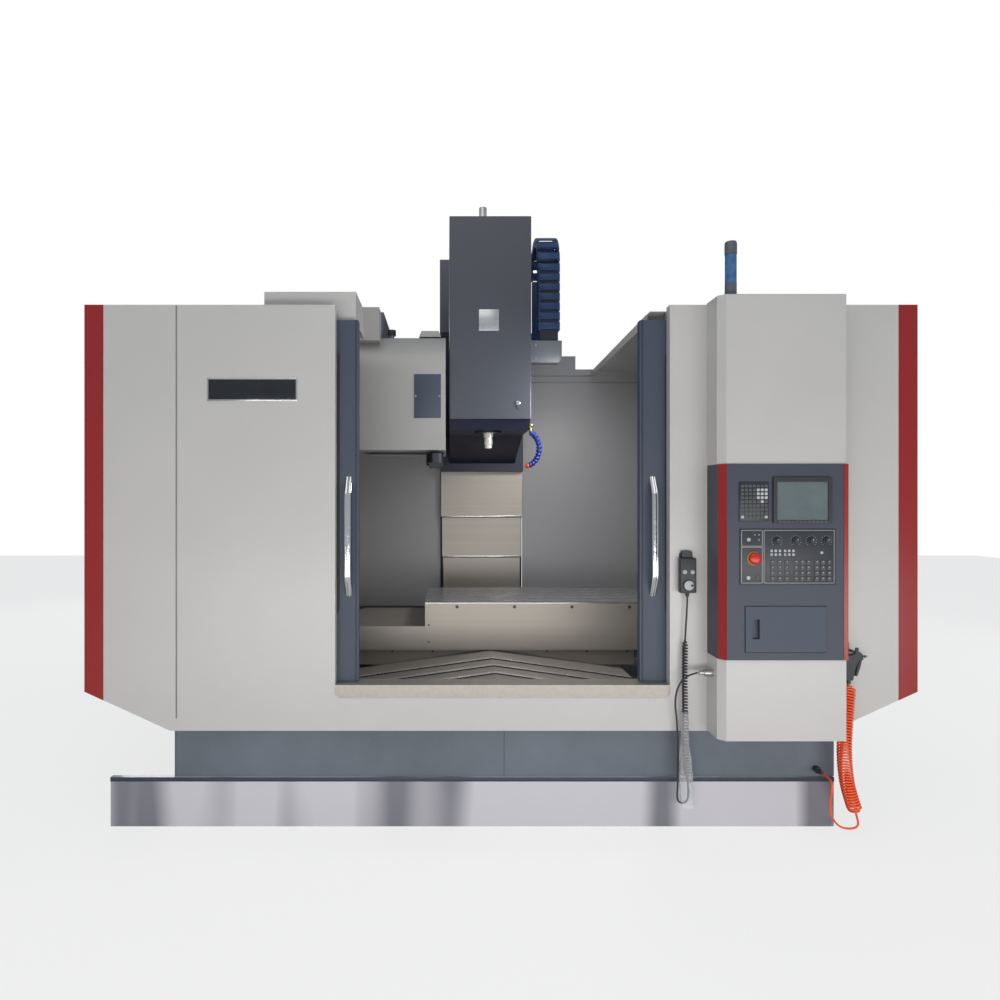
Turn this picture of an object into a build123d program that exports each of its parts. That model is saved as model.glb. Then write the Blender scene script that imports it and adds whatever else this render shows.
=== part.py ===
"""Vertical machining centre with a sliding-door enclosure, a telescopic-covered
three-axis bed, a tool changer and a free-standing control pod on its front.

Frame: X to the right of the operator, Y away from the operator, Z up, millimetres.
X = 0 is the spindle axis, Y = 0 the middle of the depth, Z = 0 the shop floor.
"""

import os
from math import cos, radians, sin, tan

from build123d import *

os.makedirs("parts", exist_ok=True)

# Overall sizes
enclosure_width = 3900
enclosure_depth = 1900  # front panel to rear splash wall
cabinet_reach = 800  # rear splash wall to the back of the electrical cabinet
rear_reach = enclosure_depth + cabinet_reach
panel_bottom = 462
panel_top = 2457
sheet = 3  # sheet steel of the casings

# Control pod and what stands on its face
pod_depth = 150
fascia_thickness = 8
estop_height = 30

front_reach = pod_depth + fascia_thickness + estop_height
front_y = -(rear_reach - front_reach) / 2  # front face of the front panel
rear_wall_y = front_y + enclosure_depth
half_width = enclosure_width / 2

# Clearances
slide_gap = 0.5  # between pieces that slide past each other
seat_gap = 0.3  # at rest on another body

# Working opening and doors
opening_left = -777
opening_right = 791
sill_bottom = 616
sill_top = 677
door_width = 800
door_top = 2400
door_thickness = 40
left_door_travel = 673.5
right_door_travel = 665

# Spindle and head
spindle_y = front_y + 1000
head_travel = 700
nose_z = 1858  # lower face of the spindle nose
cover_half_width = 240
cover_bottom = 2016
cover_top = 3202
cover_front = front_y + 800
cover_depth = 950

# Column and its covers
column_front = front_y + 1990
column_depth = 520
column_width = 620
column_top = 3370
z_cover_front = front_y + 1850
z_cover_top = 1744
z_cover_height = 330
z_cover_pitch = 296
z_cover_width = 598
z_cover_depth = 60
nest_step = 8  # each plate of a telescopic cover is this much inside the next
plate = 2.5  # thickness of telescopic cover plates

# Bed, saddle and table
bed_left = -1550
bed_right = 1590
bed_bottom = 232
bed_depth = 2560
way_top = 480
rail_height = 45
rail_width = 45
rail_spread = 900
saddle_width = 2300
saddle_depth = 640
saddle_bottom = 600
saddle_top = 700
cover_end = 1810  # outer end of the X covers
x_cover_length = 450
x_cover_top = 791
x_cover_bottom = 653
table_length = 1400
table_width = 700
table_top = 932
table_thickness = 120
table_x = 316  # table centre at rest, right of the spindle
table_y = spindle_y + 200
x_stroke = 650
t_slot_count = 5
t_slot_pitch = 125
t_slot_width = 18
t_slot_head = 32
t_slot_depth = 34
y_cover_width = 1580
y_cover_ridge = 648
y_cover_slope = 8
y_cover_length = 220
y_cover_gap = 100  # front end of the Y covers behind the front panel

# Tool changer
magazine_left = -771
magazine_right = -262
magazine_bottom = 1825
magazine_top = 2510
magazine_front = front_y + 690
magazine_depth = 640
arm_reach = 323
pot_count = 20


def save(name, *pieces):
    """Write one node: a single piece, or like pieces of one body as separate solids."""
    part = pieces[0] if len(pieces) == 1 else Part() + list(pieces)
    part.label = name
    export_step(part, f"parts/{name}.step")


# Machine bed: a wide cast base whose middle carries the Y ways
with BuildPart() as machine_bed:
    with BuildSketch(Plane.XY.offset(bed_bottom)):
        with Locations(((bed_left + bed_right) / 2, front_y + 40 + bed_depth / 2)):
            Rectangle(bed_right - bed_left, bed_depth)
    extrude(amount=panel_bottom - bed_bottom)
    fillet(machine_bed.edges().filter_by(Axis.Z), 20)
    way_width = rail_spread + 160
    way_depth = column_front + column_depth - front_y - 200
    with BuildSketch(Plane.XY.offset(panel_bottom)):
        with Locations((0, front_y + 200 + way_depth / 2)):
            Rectangle(way_width, way_depth)
    extrude(amount=way_top - panel_bottom)
    with BuildSketch(Plane.XZ.offset(-(front_y + 40))):
        with Locations((17, (bed_bottom + panel_bottom) / 2)):
            Rectangle(6, panel_bottom - bed_bottom)
    extrude(amount=-3, mode=Mode.SUBTRACT)
save("machine_bed", machine_bed.part)

# Levelling feet: pad, screw and lock nut at six places under the bed
foot_places = [
    (x, y)
    for x in (bed_left + 150, 0, bed_right - 150)
    for y in (front_y + 1100, front_y + bed_depth - 100)
]
with BuildPart() as levelling_feet:
    for layer, (low, high) in {80: (0, 28), 24: (28, bed_bottom - 24)}.items():
        with BuildSketch(Plane.XY.offset(low)):
            with Locations(*foot_places):
                Circle(layer)
        extrude(amount=high - low)
    with BuildSketch(Plane.XY.offset(bed_bottom - 24)):
        with Locations(*foot_places):
            RegularPolygon(40, 6)
    extrude(amount=24)
save("levelling_feet", levelling_feet.part)

# Coolant tank: a low sheet tank rolled in under the bed, with a facing across the front
tank_left = -1844
tank_right = 1577
tank_front = front_y + 30
tank_facing = 25
tank_depth = 900
with BuildPart() as coolant_tank:
    with BuildSketch():
        with Locations(((tank_left + tank_right) / 2, tank_front + tank_facing / 2)):
            Rectangle(tank_right - tank_left, tank_facing)
        with Locations(((bed_left + tank_right) / 2, tank_front + tank_depth / 2)):
            Rectangle(tank_right - bed_left - 60, tank_depth)
    extrude(amount=bed_bottom)  # its rim meets the underside of the bed
    fillet(coolant_tank.edges().filter_by(Axis.Z), 4)
save("coolant_tank", coolant_tank.part)

# Column: a tapered casting with a cored back, standing on the bed
with BuildPart() as column:
    with BuildSketch(Plane.YZ.offset(-column_width / 2)):
        with BuildLine():
            Polyline(
                (column_front, way_top),
                (column_front, column_top),
                (column_front + column_depth - 160, column_top),
                (column_front + column_depth, way_top + 500),
                (column_front + column_depth, way_top),
                close=True,
            )
        make_face()
    extrude(amount=column_width)
    fillet(column.edges().filter_by(Axis.X).group_by(Axis.Z)[-1], 25)
    with BuildSketch(Plane.XZ.offset(-(column_front + 120))):
        with GridLocations(0, 560, 1, 4):
            with Locations((0, (way_top + column_top) / 2)):
                RectangleRounded(column_width - 260, 420, 60)
    extrude(amount=-column_depth, mode=Mode.SUBTRACT)
save("column", column.part)

# Z guide rails on the front of the column
z_rail_spread = 400
z_rail_bottom = 1000
with BuildPart() as z_guide_rails:
    with BuildSketch(Plane.XZ.offset(-(column_front - rail_height))):
        with Locations((0, (z_rail_bottom + column_top - 60) / 2)):
            with GridLocations(z_rail_spread, 0, 2, 1):
                Rectangle(rail_width, column_top - 60 - z_rail_bottom)
    extrude(amount=-rail_height)
    chamfer(z_guide_rails.edges().filter_by(Axis.Z), 6)

# Y guide rails on the bed
y_rail_front = front_y + 290
y_rail_length = 1420
with BuildPart() as y_guide_rails:
    with BuildSketch(Plane.XY.offset(way_top)):
        with Locations((0, y_rail_front + y_rail_length / 2)):
            with GridLocations(rail_spread, 0, 2, 1):
                Rectangle(rail_width, y_rail_length)
    extrude(amount=rail_height)
    chamfer(y_guide_rails.edges().filter_by(Axis.Y), 6)
save("guide_rails", z_guide_rails.part, y_guide_rails.part)

# Saddle: carries the X ways, runs on the Y rails by four blocks
saddle_y = table_y
block_length = 120
rail_top = way_top + rail_height
with BuildPart() as saddle:
    with BuildSketch(Plane.XY.offset(saddle_bottom)):
        with Locations((0, saddle_y)):
            Rectangle(saddle_width, saddle_depth)
    extrude(amount=saddle_top - saddle_bottom)
    fillet(saddle.edges().filter_by(Axis.Z), 12)
    with BuildSketch(Plane.XY.offset(way_top + 12)):
        with Locations((0, saddle_y)):
            with GridLocations(rail_spread, saddle_depth - block_length - 40, 2, 2):
                Rectangle(rail_width + 70, block_length)
    extrude(amount=saddle_bottom - way_top - 12)
    with BuildSketch(Plane.XY.offset(way_top + 12)):
        with Locations((0, saddle_y)):
            with GridLocations(rail_spread, 0, 2, 1):
                Rectangle(rail_width + 2 * slide_gap, saddle_depth)
    extrude(amount=rail_height - 12 + slide_gap, mode=Mode.SUBTRACT)
    # Arms that reach out to carry the fixed ends of the X covers
    with BuildSketch(Plane.XY.offset(saddle_bottom + 60)):
        with Locations((0, saddle_y)):
            with GridLocations(0, 500, 1, 2):
                Rectangle(2 * cover_end, 60)
    extrude(amount=30)

# X guide rails on the saddle
x_rail_spread = 420
x_rail_height = 35
with BuildPart() as x_guide_rails:
    with BuildSketch(Plane.XY.offset(saddle_top)):
        with Locations((0, saddle_y)):
            with GridLocations(0, x_rail_spread, 1, 2):
                Rectangle(saddle_width - 40, rail_width)
    extrude(amount=x_rail_height)
    chamfer(x_guide_rails.edges().filter_by(Axis.X), 5)
save("saddle", saddle.part, x_guide_rails.part)

# Table: a ground plate with T-slots, on four blocks
table_bottom = table_top - table_thickness
with BuildPart() as table:
    with BuildSketch(Plane.YZ.offset(table_x - table_length / 2)):
        with Locations((table_y, table_bottom + table_thickness / 2)):
            Rectangle(table_width, table_thickness)
        with Locations((table_y, table_top)):
            with GridLocations(t_slot_pitch, 0, t_slot_count, 1):
                Rectangle(t_slot_width, 2 * t_slot_depth, mode=Mode.SUBTRACT)
        with Locations((table_y, table_top - t_slot_depth + 7)):
            with GridLocations(t_slot_pitch, 0, t_slot_count, 1):
                Rectangle(t_slot_head, 14, mode=Mode.SUBTRACT)
    extrude(amount=table_length)
    with BuildSketch(Plane.XY.offset(saddle_top + 8)):
        with Locations((table_x, table_y)):
            with GridLocations(table_length / 2, x_rail_spread, 2, 2):
                Rectangle(block_length, rail_width + 60)
    extrude(amount=table_bottom - saddle_top - 8)
    with BuildSketch(Plane.XY.offset(saddle_top + 8)):
        with Locations((table_x, table_y)):
            with GridLocations(0, x_rail_spread, 1, 2):
                Rectangle(table_length, rail_width + 2 * slide_gap)
    extrude(amount=x_rail_height - 8 + slide_gap, mode=Mode.SUBTRACT)
save("table", table.part)

# Table apron: the bent sheet along the front of the table, with its screws
apron_front = table_y - table_width / 2 - sheet
with BuildPart() as table_apron:
    with BuildSketch(Plane.XZ.offset(-apron_front)):
        with Locations((table_x, (x_cover_bottom + table_top - 6) / 2)):
            Rectangle(table_length, table_top - 6 - x_cover_bottom)
    extrude(amount=-sheet)
    with BuildSketch(Plane.XZ.offset(-apron_front)):
        with Locations((table_x, table_top - 24)):
            with GridLocations(340, 0, 4, 1):
                Circle(9)
    extrude(amount=3)


def cover_lip(step):
    """Thickness of the wiper under the free end of a cover plate."""
    return step - plate - slide_gap


# X covers: nested inverted-U plates each side of the table
def x_cover_pair(k):
    """Left and right plate number k: they move together."""
    fraction = k / 3
    half = table_width / 2 - k * nest_step
    top = x_cover_top - k * nest_step
    lip = cover_lip(nest_step)
    left_start = table_x - table_length / 2 - x_cover_length
    left = left_start + (-cover_end - left_start) * fraction
    right_start = table_x + table_length / 2
    right = right_start + (cover_end - x_cover_length - right_start) * fraction
    with BuildPart() as pair:
        for start, wiper in ((left, left), (right, right + x_cover_length - 14)):
            for place, length, inset in ((start, x_cover_length, plate), (wiper, 14, plate + lip)):
                with BuildSketch(Plane.YZ.offset(place)):
                    with Locations((table_y, (x_cover_bottom + top) / 2)):
                        Rectangle(2 * half, top - x_cover_bottom)
                    with Locations((table_y, (x_cover_bottom + top - inset) / 2 - 1)):
                        Rectangle(
                            2 * half - 2 * inset,
                            top - inset - x_cover_bottom + 2,
                            mode=Mode.SUBTRACT,
                        )
                if k < 3 or place == start:
                    extrude(amount=length)
        if k == 3:
            for place in (-cover_end, cover_end - 6):
                with BuildSketch(Plane.YZ.offset(place)):
                    with Locations((table_y, (saddle_bottom + 90 + top) / 2)):
                        Rectangle(2 * half - 2 * plate, top - saddle_bottom - 90)
                extrude(amount=6)
    return pair.part


x_covers = [x_cover_pair(k) for k in range(4)]
save("table_covers", table_apron.part, x_covers[0])
save("x_cover_2", x_covers[1])
save("x_cover_3", x_covers[2])


# Y covers: nested roof-shaped plates in front of the saddle
y_nest = 6
y_steps = 4
saddle_front = saddle_y - saddle_depth / 2
y_cover_back = saddle_front - y_cover_length
y_cover_front = front_y + y_cover_gap
pan_top = panel_bottom + sheet
roof_fall = tan(radians(y_cover_slope))


def roof_outline(half, ridge, foot):
    """Corner points of a roof section, from the left foot over the ridge."""
    eave = ridge - half * roof_fall
    return [(-half, foot), (-half, eave), (0, ridge), (half, eave), (half, foot)]


def y_cover_plate(k):
    """Roof plate number k, with its wiper; the last one stands on the chip pan."""
    half = y_cover_width / 2 - k * y_nest
    ridge = y_cover_ridge - k * y_nest
    eave = ridge - half * roof_fall
    foot = eave - 45 + k * y_nest
    start = y_cover_back + (y_cover_front - y_cover_back) * k / y_steps
    lip = cover_lip(y_nest)
    with BuildPart() as roof:
        for length, inset in ((y_cover_length, plate), (14, plate + lip)):
            if k == y_steps and inset > plate:
                continue
            with BuildSketch(Plane.XZ.offset(-start)):
                with BuildLine():
                    Polyline(*roof_outline(half, ridge, foot), close=True)
                make_face()
                with BuildLine():
                    Polyline(*roof_outline(half - inset, ridge - inset, foot - 1), close=True)
                make_face(mode=Mode.SUBTRACT)
            extrude(amount=-length)
        if k == y_steps:
            with BuildSketch(Plane.XZ.offset(-start)):
                with BuildLine():
                    Polyline(*roof_outline(half, ridge, pan_top), close=True)
                make_face()
            extrude(amount=-plate)
    return roof.part


y_covers = [y_cover_plate(k) for k in range(y_steps + 1)]
# Front plate of the saddle, cut out round the first of them, with its row of screws
apron_half = 860
with BuildPart() as saddle_apron:
    with BuildSketch(Plane.XZ.offset(-saddle_front)):
        with Locations((0, saddle_bottom + 5)):
            Rectangle(2 * apron_half, 92)
        with BuildLine():
            Polyline(*roof_outline(y_cover_width / 2 + 1, y_cover_ridge + 1, 500), close=True)
        make_face(mode=Mode.SUBTRACT)
    extrude(amount=3)
    with BuildSketch(Plane.XZ.offset(-(saddle_front - 3))):
        for x in (-820, -580, -340, 340, 580, 820):
            with Locations((x, saddle_bottom + 38)):
                Circle(5)
    extrude(amount=3)
save("saddle_covers", x_covers[3], y_covers[0], saddle_apron.part)
for k in range(1, y_steps):
    save(f"y_cover_{k + 1}", y_covers[k])

# Z covers: nested C-shaped plates below the head
z_steps = 3


def z_cover_plate(k):
    """C plate number k; the last one is fixed to the column."""
    half = z_cover_width / 2 - k * nest_step
    front = z_cover_front + k * nest_step
    back = column_front if k == z_steps else z_cover_front + z_cover_depth
    bottom = z_cover_top - k * z_cover_pitch - z_cover_height
    lip = cover_lip(nest_step)
    with BuildPart() as c_plate:
        for height, inset in ((z_cover_height, plate), (14, plate + lip)):
            if k == z_steps and inset > plate:
                continue
            with BuildSketch(Plane.XY.offset(bottom)):
                with Locations((0, (front + back) / 2)):
                    Rectangle(2 * half, back - front)
                with Locations((0, (front + inset + back) / 2 + 1)):
                    Rectangle(2 * half - 2 * inset, back - front - inset + 2, mode=Mode.SUBTRACT)
            extrude(amount=height)
    return c_plate.part


z_covers = [z_cover_plate(k) for k in range(z_steps + 1)]
for k in range(z_steps):
    save(f"z_cover_{k + 1}", z_covers[k])
save("fixed_covers", z_covers[z_steps], y_covers[y_steps])

# Head casting: a slide on the Z rails and an arm out to the spindle
slide_back = column_front - 90
slide_front = slide_back - 120
head_bottom = 1960
head_top = 2560
head_half = cover_half_width - sheet
spindle_bore = 122
with BuildPart() as head_casting:
    with BuildSketch(Plane.YZ.offset(-head_half)):
        with BuildLine():
            Polyline(
                (cover_front + 30, head_top),
                (cover_front + 30, head_bottom + 60),
                (cover_front + 70, head_bottom),
                (spindle_y + 260, head_bottom),
                (slide_front, z_cover_top + 60),
                (slide_front, head_top),
                close=True,
            )
        make_face()
    extrude(amount=2 * head_half)
    with BuildSketch(Plane.XY.offset(z_cover_top)):
        with Locations((0, (slide_front + slide_back) / 2)):
            Rectangle(z_cover_width, slide_back - slide_front)
    extrude(amount=2760 - z_cover_top)
    fillet(head_casting.edges().filter_by(Axis.Z).group_by(Axis.Y)[-1], 10)
    for low in (z_cover_top + 40, 2500):
        with BuildSketch(Plane.XY.offset(low)):
            with Locations((0, (slide_back + column_front - 8) / 2)):
                with GridLocations(z_rail_spread, 0, 2, 1):
                    Rectangle(rail_width + 60, column_front - 8 - slide_back)
            with Locations((0, column_front - rail_height / 2)):
                with GridLocations(z_rail_spread, 0, 2, 1):
                    Rectangle(
                        rail_width + 2 * slide_gap, rail_height + 2 * slide_gap, mode=Mode.SUBTRACT
                    )
        extrude(amount=180)
    with BuildSketch(Plane.XY.offset(head_bottom - 12)):
        with Locations((0, spindle_y)):
            Circle(84)
    extrude(amount=12)
    with BuildSketch(Plane.XY.offset(head_bottom - 13)):
        with Locations((0, spindle_y)):
            Circle(spindle_bore / 2)
    extrude(amount=head_top - head_bottom + 20, mode=Mode.SUBTRACT)

# Spindle: nose, drive key rings and taper bore
running_fit = 0.05
with BuildPart() as spindle:
    with BuildSketch(Plane.XZ.offset(-spindle_y)):
        with BuildLine():
            Polyline(
                (14, nose_z),
                (22, nose_z),
                (22, nose_z + 20),
                (26, nose_z + 25),
                (26, nose_z + 54),
                (24, nose_z + 57),
                (24, nose_z + 66),
                (30, nose_z + 68),
                (30, nose_z + 94),
                (spindle_bore / 2 - running_fit, nose_z + 96),
                (spindle_bore / 2 - running_fit, head_top - 60),
                (40, head_top - 50),
                (40, head_top - seat_gap),
                (0, head_top - seat_gap),
                (0, nose_z + 80),
                (9, nose_z + 80),
                close=True,
            )
        make_face()
    revolve(axis=Axis((0, spindle_y, 0), (0, 0, 1)))
save("spindle", spindle.part)

# Spindle motor on top of the head, under its cover
with BuildPart() as spindle_motor:
    with BuildSketch(Plane.XY.offset(head_top)):
        with Locations((0, spindle_y)):
            RectangleRounded(320, 320, 30)
    extrude(amount=30)
    with BuildSketch(Plane.XY.offset(head_top + 30)):
        with Locations((0, spindle_y)):
            RectangleRounded(260, 260, 40)
    extrude(amount=460)
    fillet(spindle_motor.faces().sort_by(Axis.Z)[-1].edges(), 12)
save("head_casting", head_casting.part, spindle_motor.part)

# Head cover: a sheet box open below and behind, with a breather on top
with BuildPart() as head_cover:
    with BuildSketch(Plane.XY.offset(cover_bottom)):
        with Locations((0, cover_front + cover_depth / 2)):
            Rectangle(2 * cover_half_width, cover_depth)
    extrude(amount=cover_top - cover_bottom)
    fillet(head_cover.edges().filter_by(Axis.Z).group_by(Axis.Y)[0], 6)
    with BuildSketch(Plane.XY.offset(cover_bottom)):
        with Locations((0, cover_front + sheet + cover_depth / 2)):
            Rectangle(2 * head_half, cover_depth)
    extrude(amount=cover_top - cover_bottom - sheet, mode=Mode.SUBTRACT)
    with BuildSketch(Plane.XY.offset(cover_top)):
        with Locations((-42, cover_front + 34)):
            Circle(22)
    extrude(amount=60)
    with BuildSketch(Plane.XZ.offset(-cover_front)):
        with Locations((168, cover_bottom + 72)):
            Circle(14)
    extrude(amount=5)
save("head_cover", head_cover.part)

# Front panel: a pan of folded sheet with the working opening cut from its top
panel_depth = 50
corner_rise = 183
corner_run = 400
sill_lap = 24  # the sill overlaps the panel's cut edge by this much


def panel_outline(inset):
    """Front panel outline, its edges moved inwards by the inset."""
    side = half_width - inset
    low = panel_bottom + inset
    sill = sill_bottom + sill_lap - inset
    return [
        (-side, panel_top - inset),
        (-side, panel_bottom + corner_rise),
        (-side + corner_run, low),
        (side - corner_run, low),
        (side, panel_bottom + corner_rise),
        (side, panel_top - inset),
        (opening_right + inset, panel_top - inset),
        (opening_right + inset, sill),
        (opening_left - inset, sill),
        (opening_left - inset, panel_top - inset),
    ]


with BuildPart() as front_panel:
    with BuildSketch(Plane.XZ.offset(-front_y)):
        with BuildLine():
            Polyline(*panel_outline(0), close=True)
        make_face()
    extrude(amount=-panel_depth)
    with BuildSketch(Plane.XZ.offset(-front_y - sheet)):
        with BuildLine():
            Polyline(*panel_outline(sheet), close=True)
        make_face()
    extrude(amount=-panel_depth, mode=Mode.SUBTRACT)
save("front_panel", front_panel.part)

# Front sill: stainless angle across the bottom of the opening
sill_return = 105
with BuildPart() as front_sill:
    with BuildSketch(Plane.XZ.offset(-(front_y - sheet))):
        with BuildLine():
            Polyline(
                (opening_left, sill_bottom + 18),
                (opening_left + 18, sill_bottom),
                (opening_right - 18, sill_bottom),
                (opening_right, sill_bottom + 18),
                (opening_right, sill_top),
                (opening_left, sill_top),
                close=True,
            )
        make_face()
    extrude(amount=-sheet)
    with BuildSketch(Plane.XY.offset(sill_top - sheet)):
        with Locations(((opening_left + opening_right) / 2, front_y + sill_return / 2)):
            Rectangle(opening_right - opening_left, sill_return)
    extrude(amount=sheet)

# Door rails: bottom track on its riser, and a top track behind each end of the panel
door_front = front_y + panel_depth + 5
door_back = door_front + door_thickness
door_bottom = sill_top + slide_gap
rail_half = 1500
roof_front = panel_top - 20
with BuildPart() as door_rails:
    with BuildSketch(Plane.XY.offset(pan_top)):
        with Locations((0, door_front + door_thickness / 2)):
            Rectangle(2 * rail_half, 24)
    extrude(amount=sill_top - sheet - pan_top)
    for side, inner in ((-1, opening_left), (1, opening_right)):
        with BuildSketch(Plane.XY.offset(sill_top - sheet)):
            with Locations((side * (rail_half + abs(inner)) / 2, door_front + door_thickness / 2)):
                Rectangle(rail_half - abs(inner), 24)
        extrude(amount=sheet)
        with BuildSketch(Plane.XY.offset(door_top + slide_gap)):
            with Locations((side * (rail_half + abs(inner)) / 2, door_front + door_thickness / 2)):
                Rectangle(rail_half - abs(inner), door_thickness)
        extrude(amount=roof_front - door_top - slide_gap)
save("front_sill", front_sill.part, door_rails.part)


def sliding_door(outer, inner, frame_inner):
    """Door leaf from its outer edge to its leading edge, with a window cut out."""
    low, high = sorted((outer, inner))
    side = 1 if inner > outer else -1
    window_low, window_high = sorted((outer + side * 90, inner - side * frame_inner))
    with BuildPart() as leaf:
        with BuildSketch(Plane.XZ.offset(-door_front)):
            with Locations(((low + high) / 2, (door_bottom + door_top) / 2)):
                Rectangle(high - low, door_top - door_bottom)
            with Locations(((window_low + window_high) / 2, (1000 + 2250) / 2)):
                RectangleRounded(window_high - window_low, 1250, 30, mode=Mode.SUBTRACT)
        extrude(amount=-door_thickness)
        channel = inner - side * (frame_inner - 6)
        with BuildSketch(Plane.XZ.offset(-door_front)):
            with Locations((channel, (door_bottom + door_top) / 2)):
                Rectangle(6, door_top - door_bottom)
        extrude(amount=-5, mode=Mode.SUBTRACT)
    return leaf.part, (window_low, window_high)


left_lead = -674
right_lead = 665
left_leaf, left_window = sliding_door(left_lead - door_width, left_lead, 96)
right_leaf, right_window = sliding_door(right_lead + door_width, right_lead, 126)

def door_window(span):
    """Laminated pane that fills the window of a door leaf."""
    with BuildPart() as pane:
        with BuildSketch(Plane.XZ.offset(-(door_front + 14))):
            with Locations(((span[0] + span[1]) / 2, (1000 + 2250) / 2)):
                RectangleRounded(span[1] - span[0], 1250, 30)
        extrude(amount=-10)
    return pane.part




def bow_handle(x):
    """Bowed pull handle standing on two feet on the leading frame."""
    low = 1084
    high = 1655
    stand = 50
    half = 9
    with BuildPart() as handle:
        with BuildSketch(Plane.YZ.offset(x - half)):
            with BuildLine():
                ThreePointArc(
                    (door_front, low), (door_front - stand, (low + high) / 2), (door_front, high)
                )
                Line((door_front, high), (door_front, high - 30))
                ThreePointArc(
                    (door_front, high - 30),
                    (door_front - stand + 12, (low + high) / 2),
                    (door_front, low + 30),
                )
                Line((door_front, low + 30), (door_front, low))
            make_face()
        extrude(amount=2 * half)
        fillet(handle.edges().filter_by(GeomType.CIRCLE), 4)
    return handle.part


save("left_door", left_leaf, door_window(left_window), bow_handle(left_lead - 46))
save("right_door", right_leaf, door_window(right_window), bow_handle(right_lead + 62))

# Side panels: one folded sheet each, turned in along the bottom
side_depth = enclosure_depth - panel_depth


def side_panel(side):
    """Side sheet with its sloping lower turn-in and front and rear flanges."""
    outer = [
        (side * half_width, panel_top),
        (side * half_width, panel_bottom + corner_rise),
        (side * (half_width - corner_run), panel_bottom),
    ]
    inner = [(x - side * sheet, z + (4 if z < panel_top else 0)) for x, z in reversed(outer)]
    inner[0] = (side * (half_width - corner_run), panel_bottom + sheet)
    with BuildPart() as panel:
        with BuildSketch(Plane.XZ.offset(-(front_y + panel_depth))):
            with BuildLine():
                Polyline(*outer, *inner, close=True)
            make_face()
        extrude(amount=-side_depth)
        for y in (front_y + panel_depth + 600, front_y + panel_depth + 1200):
            with BuildSketch(Plane.XY.offset(panel_bottom + corner_rise + 60)):
                with Locations((side * half_width, y)):
                    Rectangle(3, 8)
            extrude(amount=panel_top - panel_bottom - corner_rise - 120, mode=Mode.SUBTRACT)
    return panel.part



# Chip pan: the floor of the working space, round the ways
with BuildPart() as chip_pan:
    with BuildSketch(Plane.XY.offset(panel_bottom)):
        with Locations((0, front_y + panel_depth + side_depth / 2)):
            Rectangle(2 * (half_width - corner_run), side_depth)
        with Locations((0, front_y + 200 + way_depth / 2)):
            Rectangle(way_width, way_depth, mode=Mode.SUBTRACT)
    extrude(amount=sheet)

# Splash walls: rear sheets each side of the column, joggled back at the bottom
wall_top = 2512
wall_foot = 746
wall_joggle = 60
wall_opening = 304
block_right = 703
block_top = 2610
with BuildPart() as splash_walls:
    with BuildSketch(Plane.YZ.offset(-(half_width - sheet))):
        with BuildLine():
            Polyline(
                (rear_wall_y, wall_top),
                (rear_wall_y, 2468),
                (rear_wall_y + 10, 2458),
                (rear_wall_y + 10, 2420),
                (rear_wall_y, 2410),
                (rear_wall_y, wall_foot),
                (rear_wall_y + wall_joggle, wall_foot),
                (rear_wall_y + wall_joggle, panel_bottom + corner_rise),
                (rear_wall_y + wall_joggle + sheet, panel_bottom + corner_rise),
                (rear_wall_y + wall_joggle + sheet, wall_foot + sheet),
                (rear_wall_y + sheet, wall_foot + sheet),
                (rear_wall_y + sheet, 2408),
                (rear_wall_y + 10 + sheet, 2418),
                (rear_wall_y + 10 + sheet, 2460),
                (rear_wall_y + sheet, 2470),
                (rear_wall_y + sheet, wall_top - sheet),
                (rear_wall_y + 40, wall_top - sheet),
                (rear_wall_y + 40, wall_top),
                close=True,
            )
        make_face()
    extrude(amount=half_width - sheet - wall_opening)
    mirror(about=Plane.YZ)
    # Raised box behind the right side of the head
    with BuildSketch(Plane.XZ.offset(-rear_wall_y)):
        with Locations(((wall_opening + block_right) / 2, (wall_top + block_top) / 2)):
            Rectangle(block_right - wall_opening, block_top - wall_top)
    extrude(amount=-40)
save("splash_walls", splash_walls.part, chip_pan.part)

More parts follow.
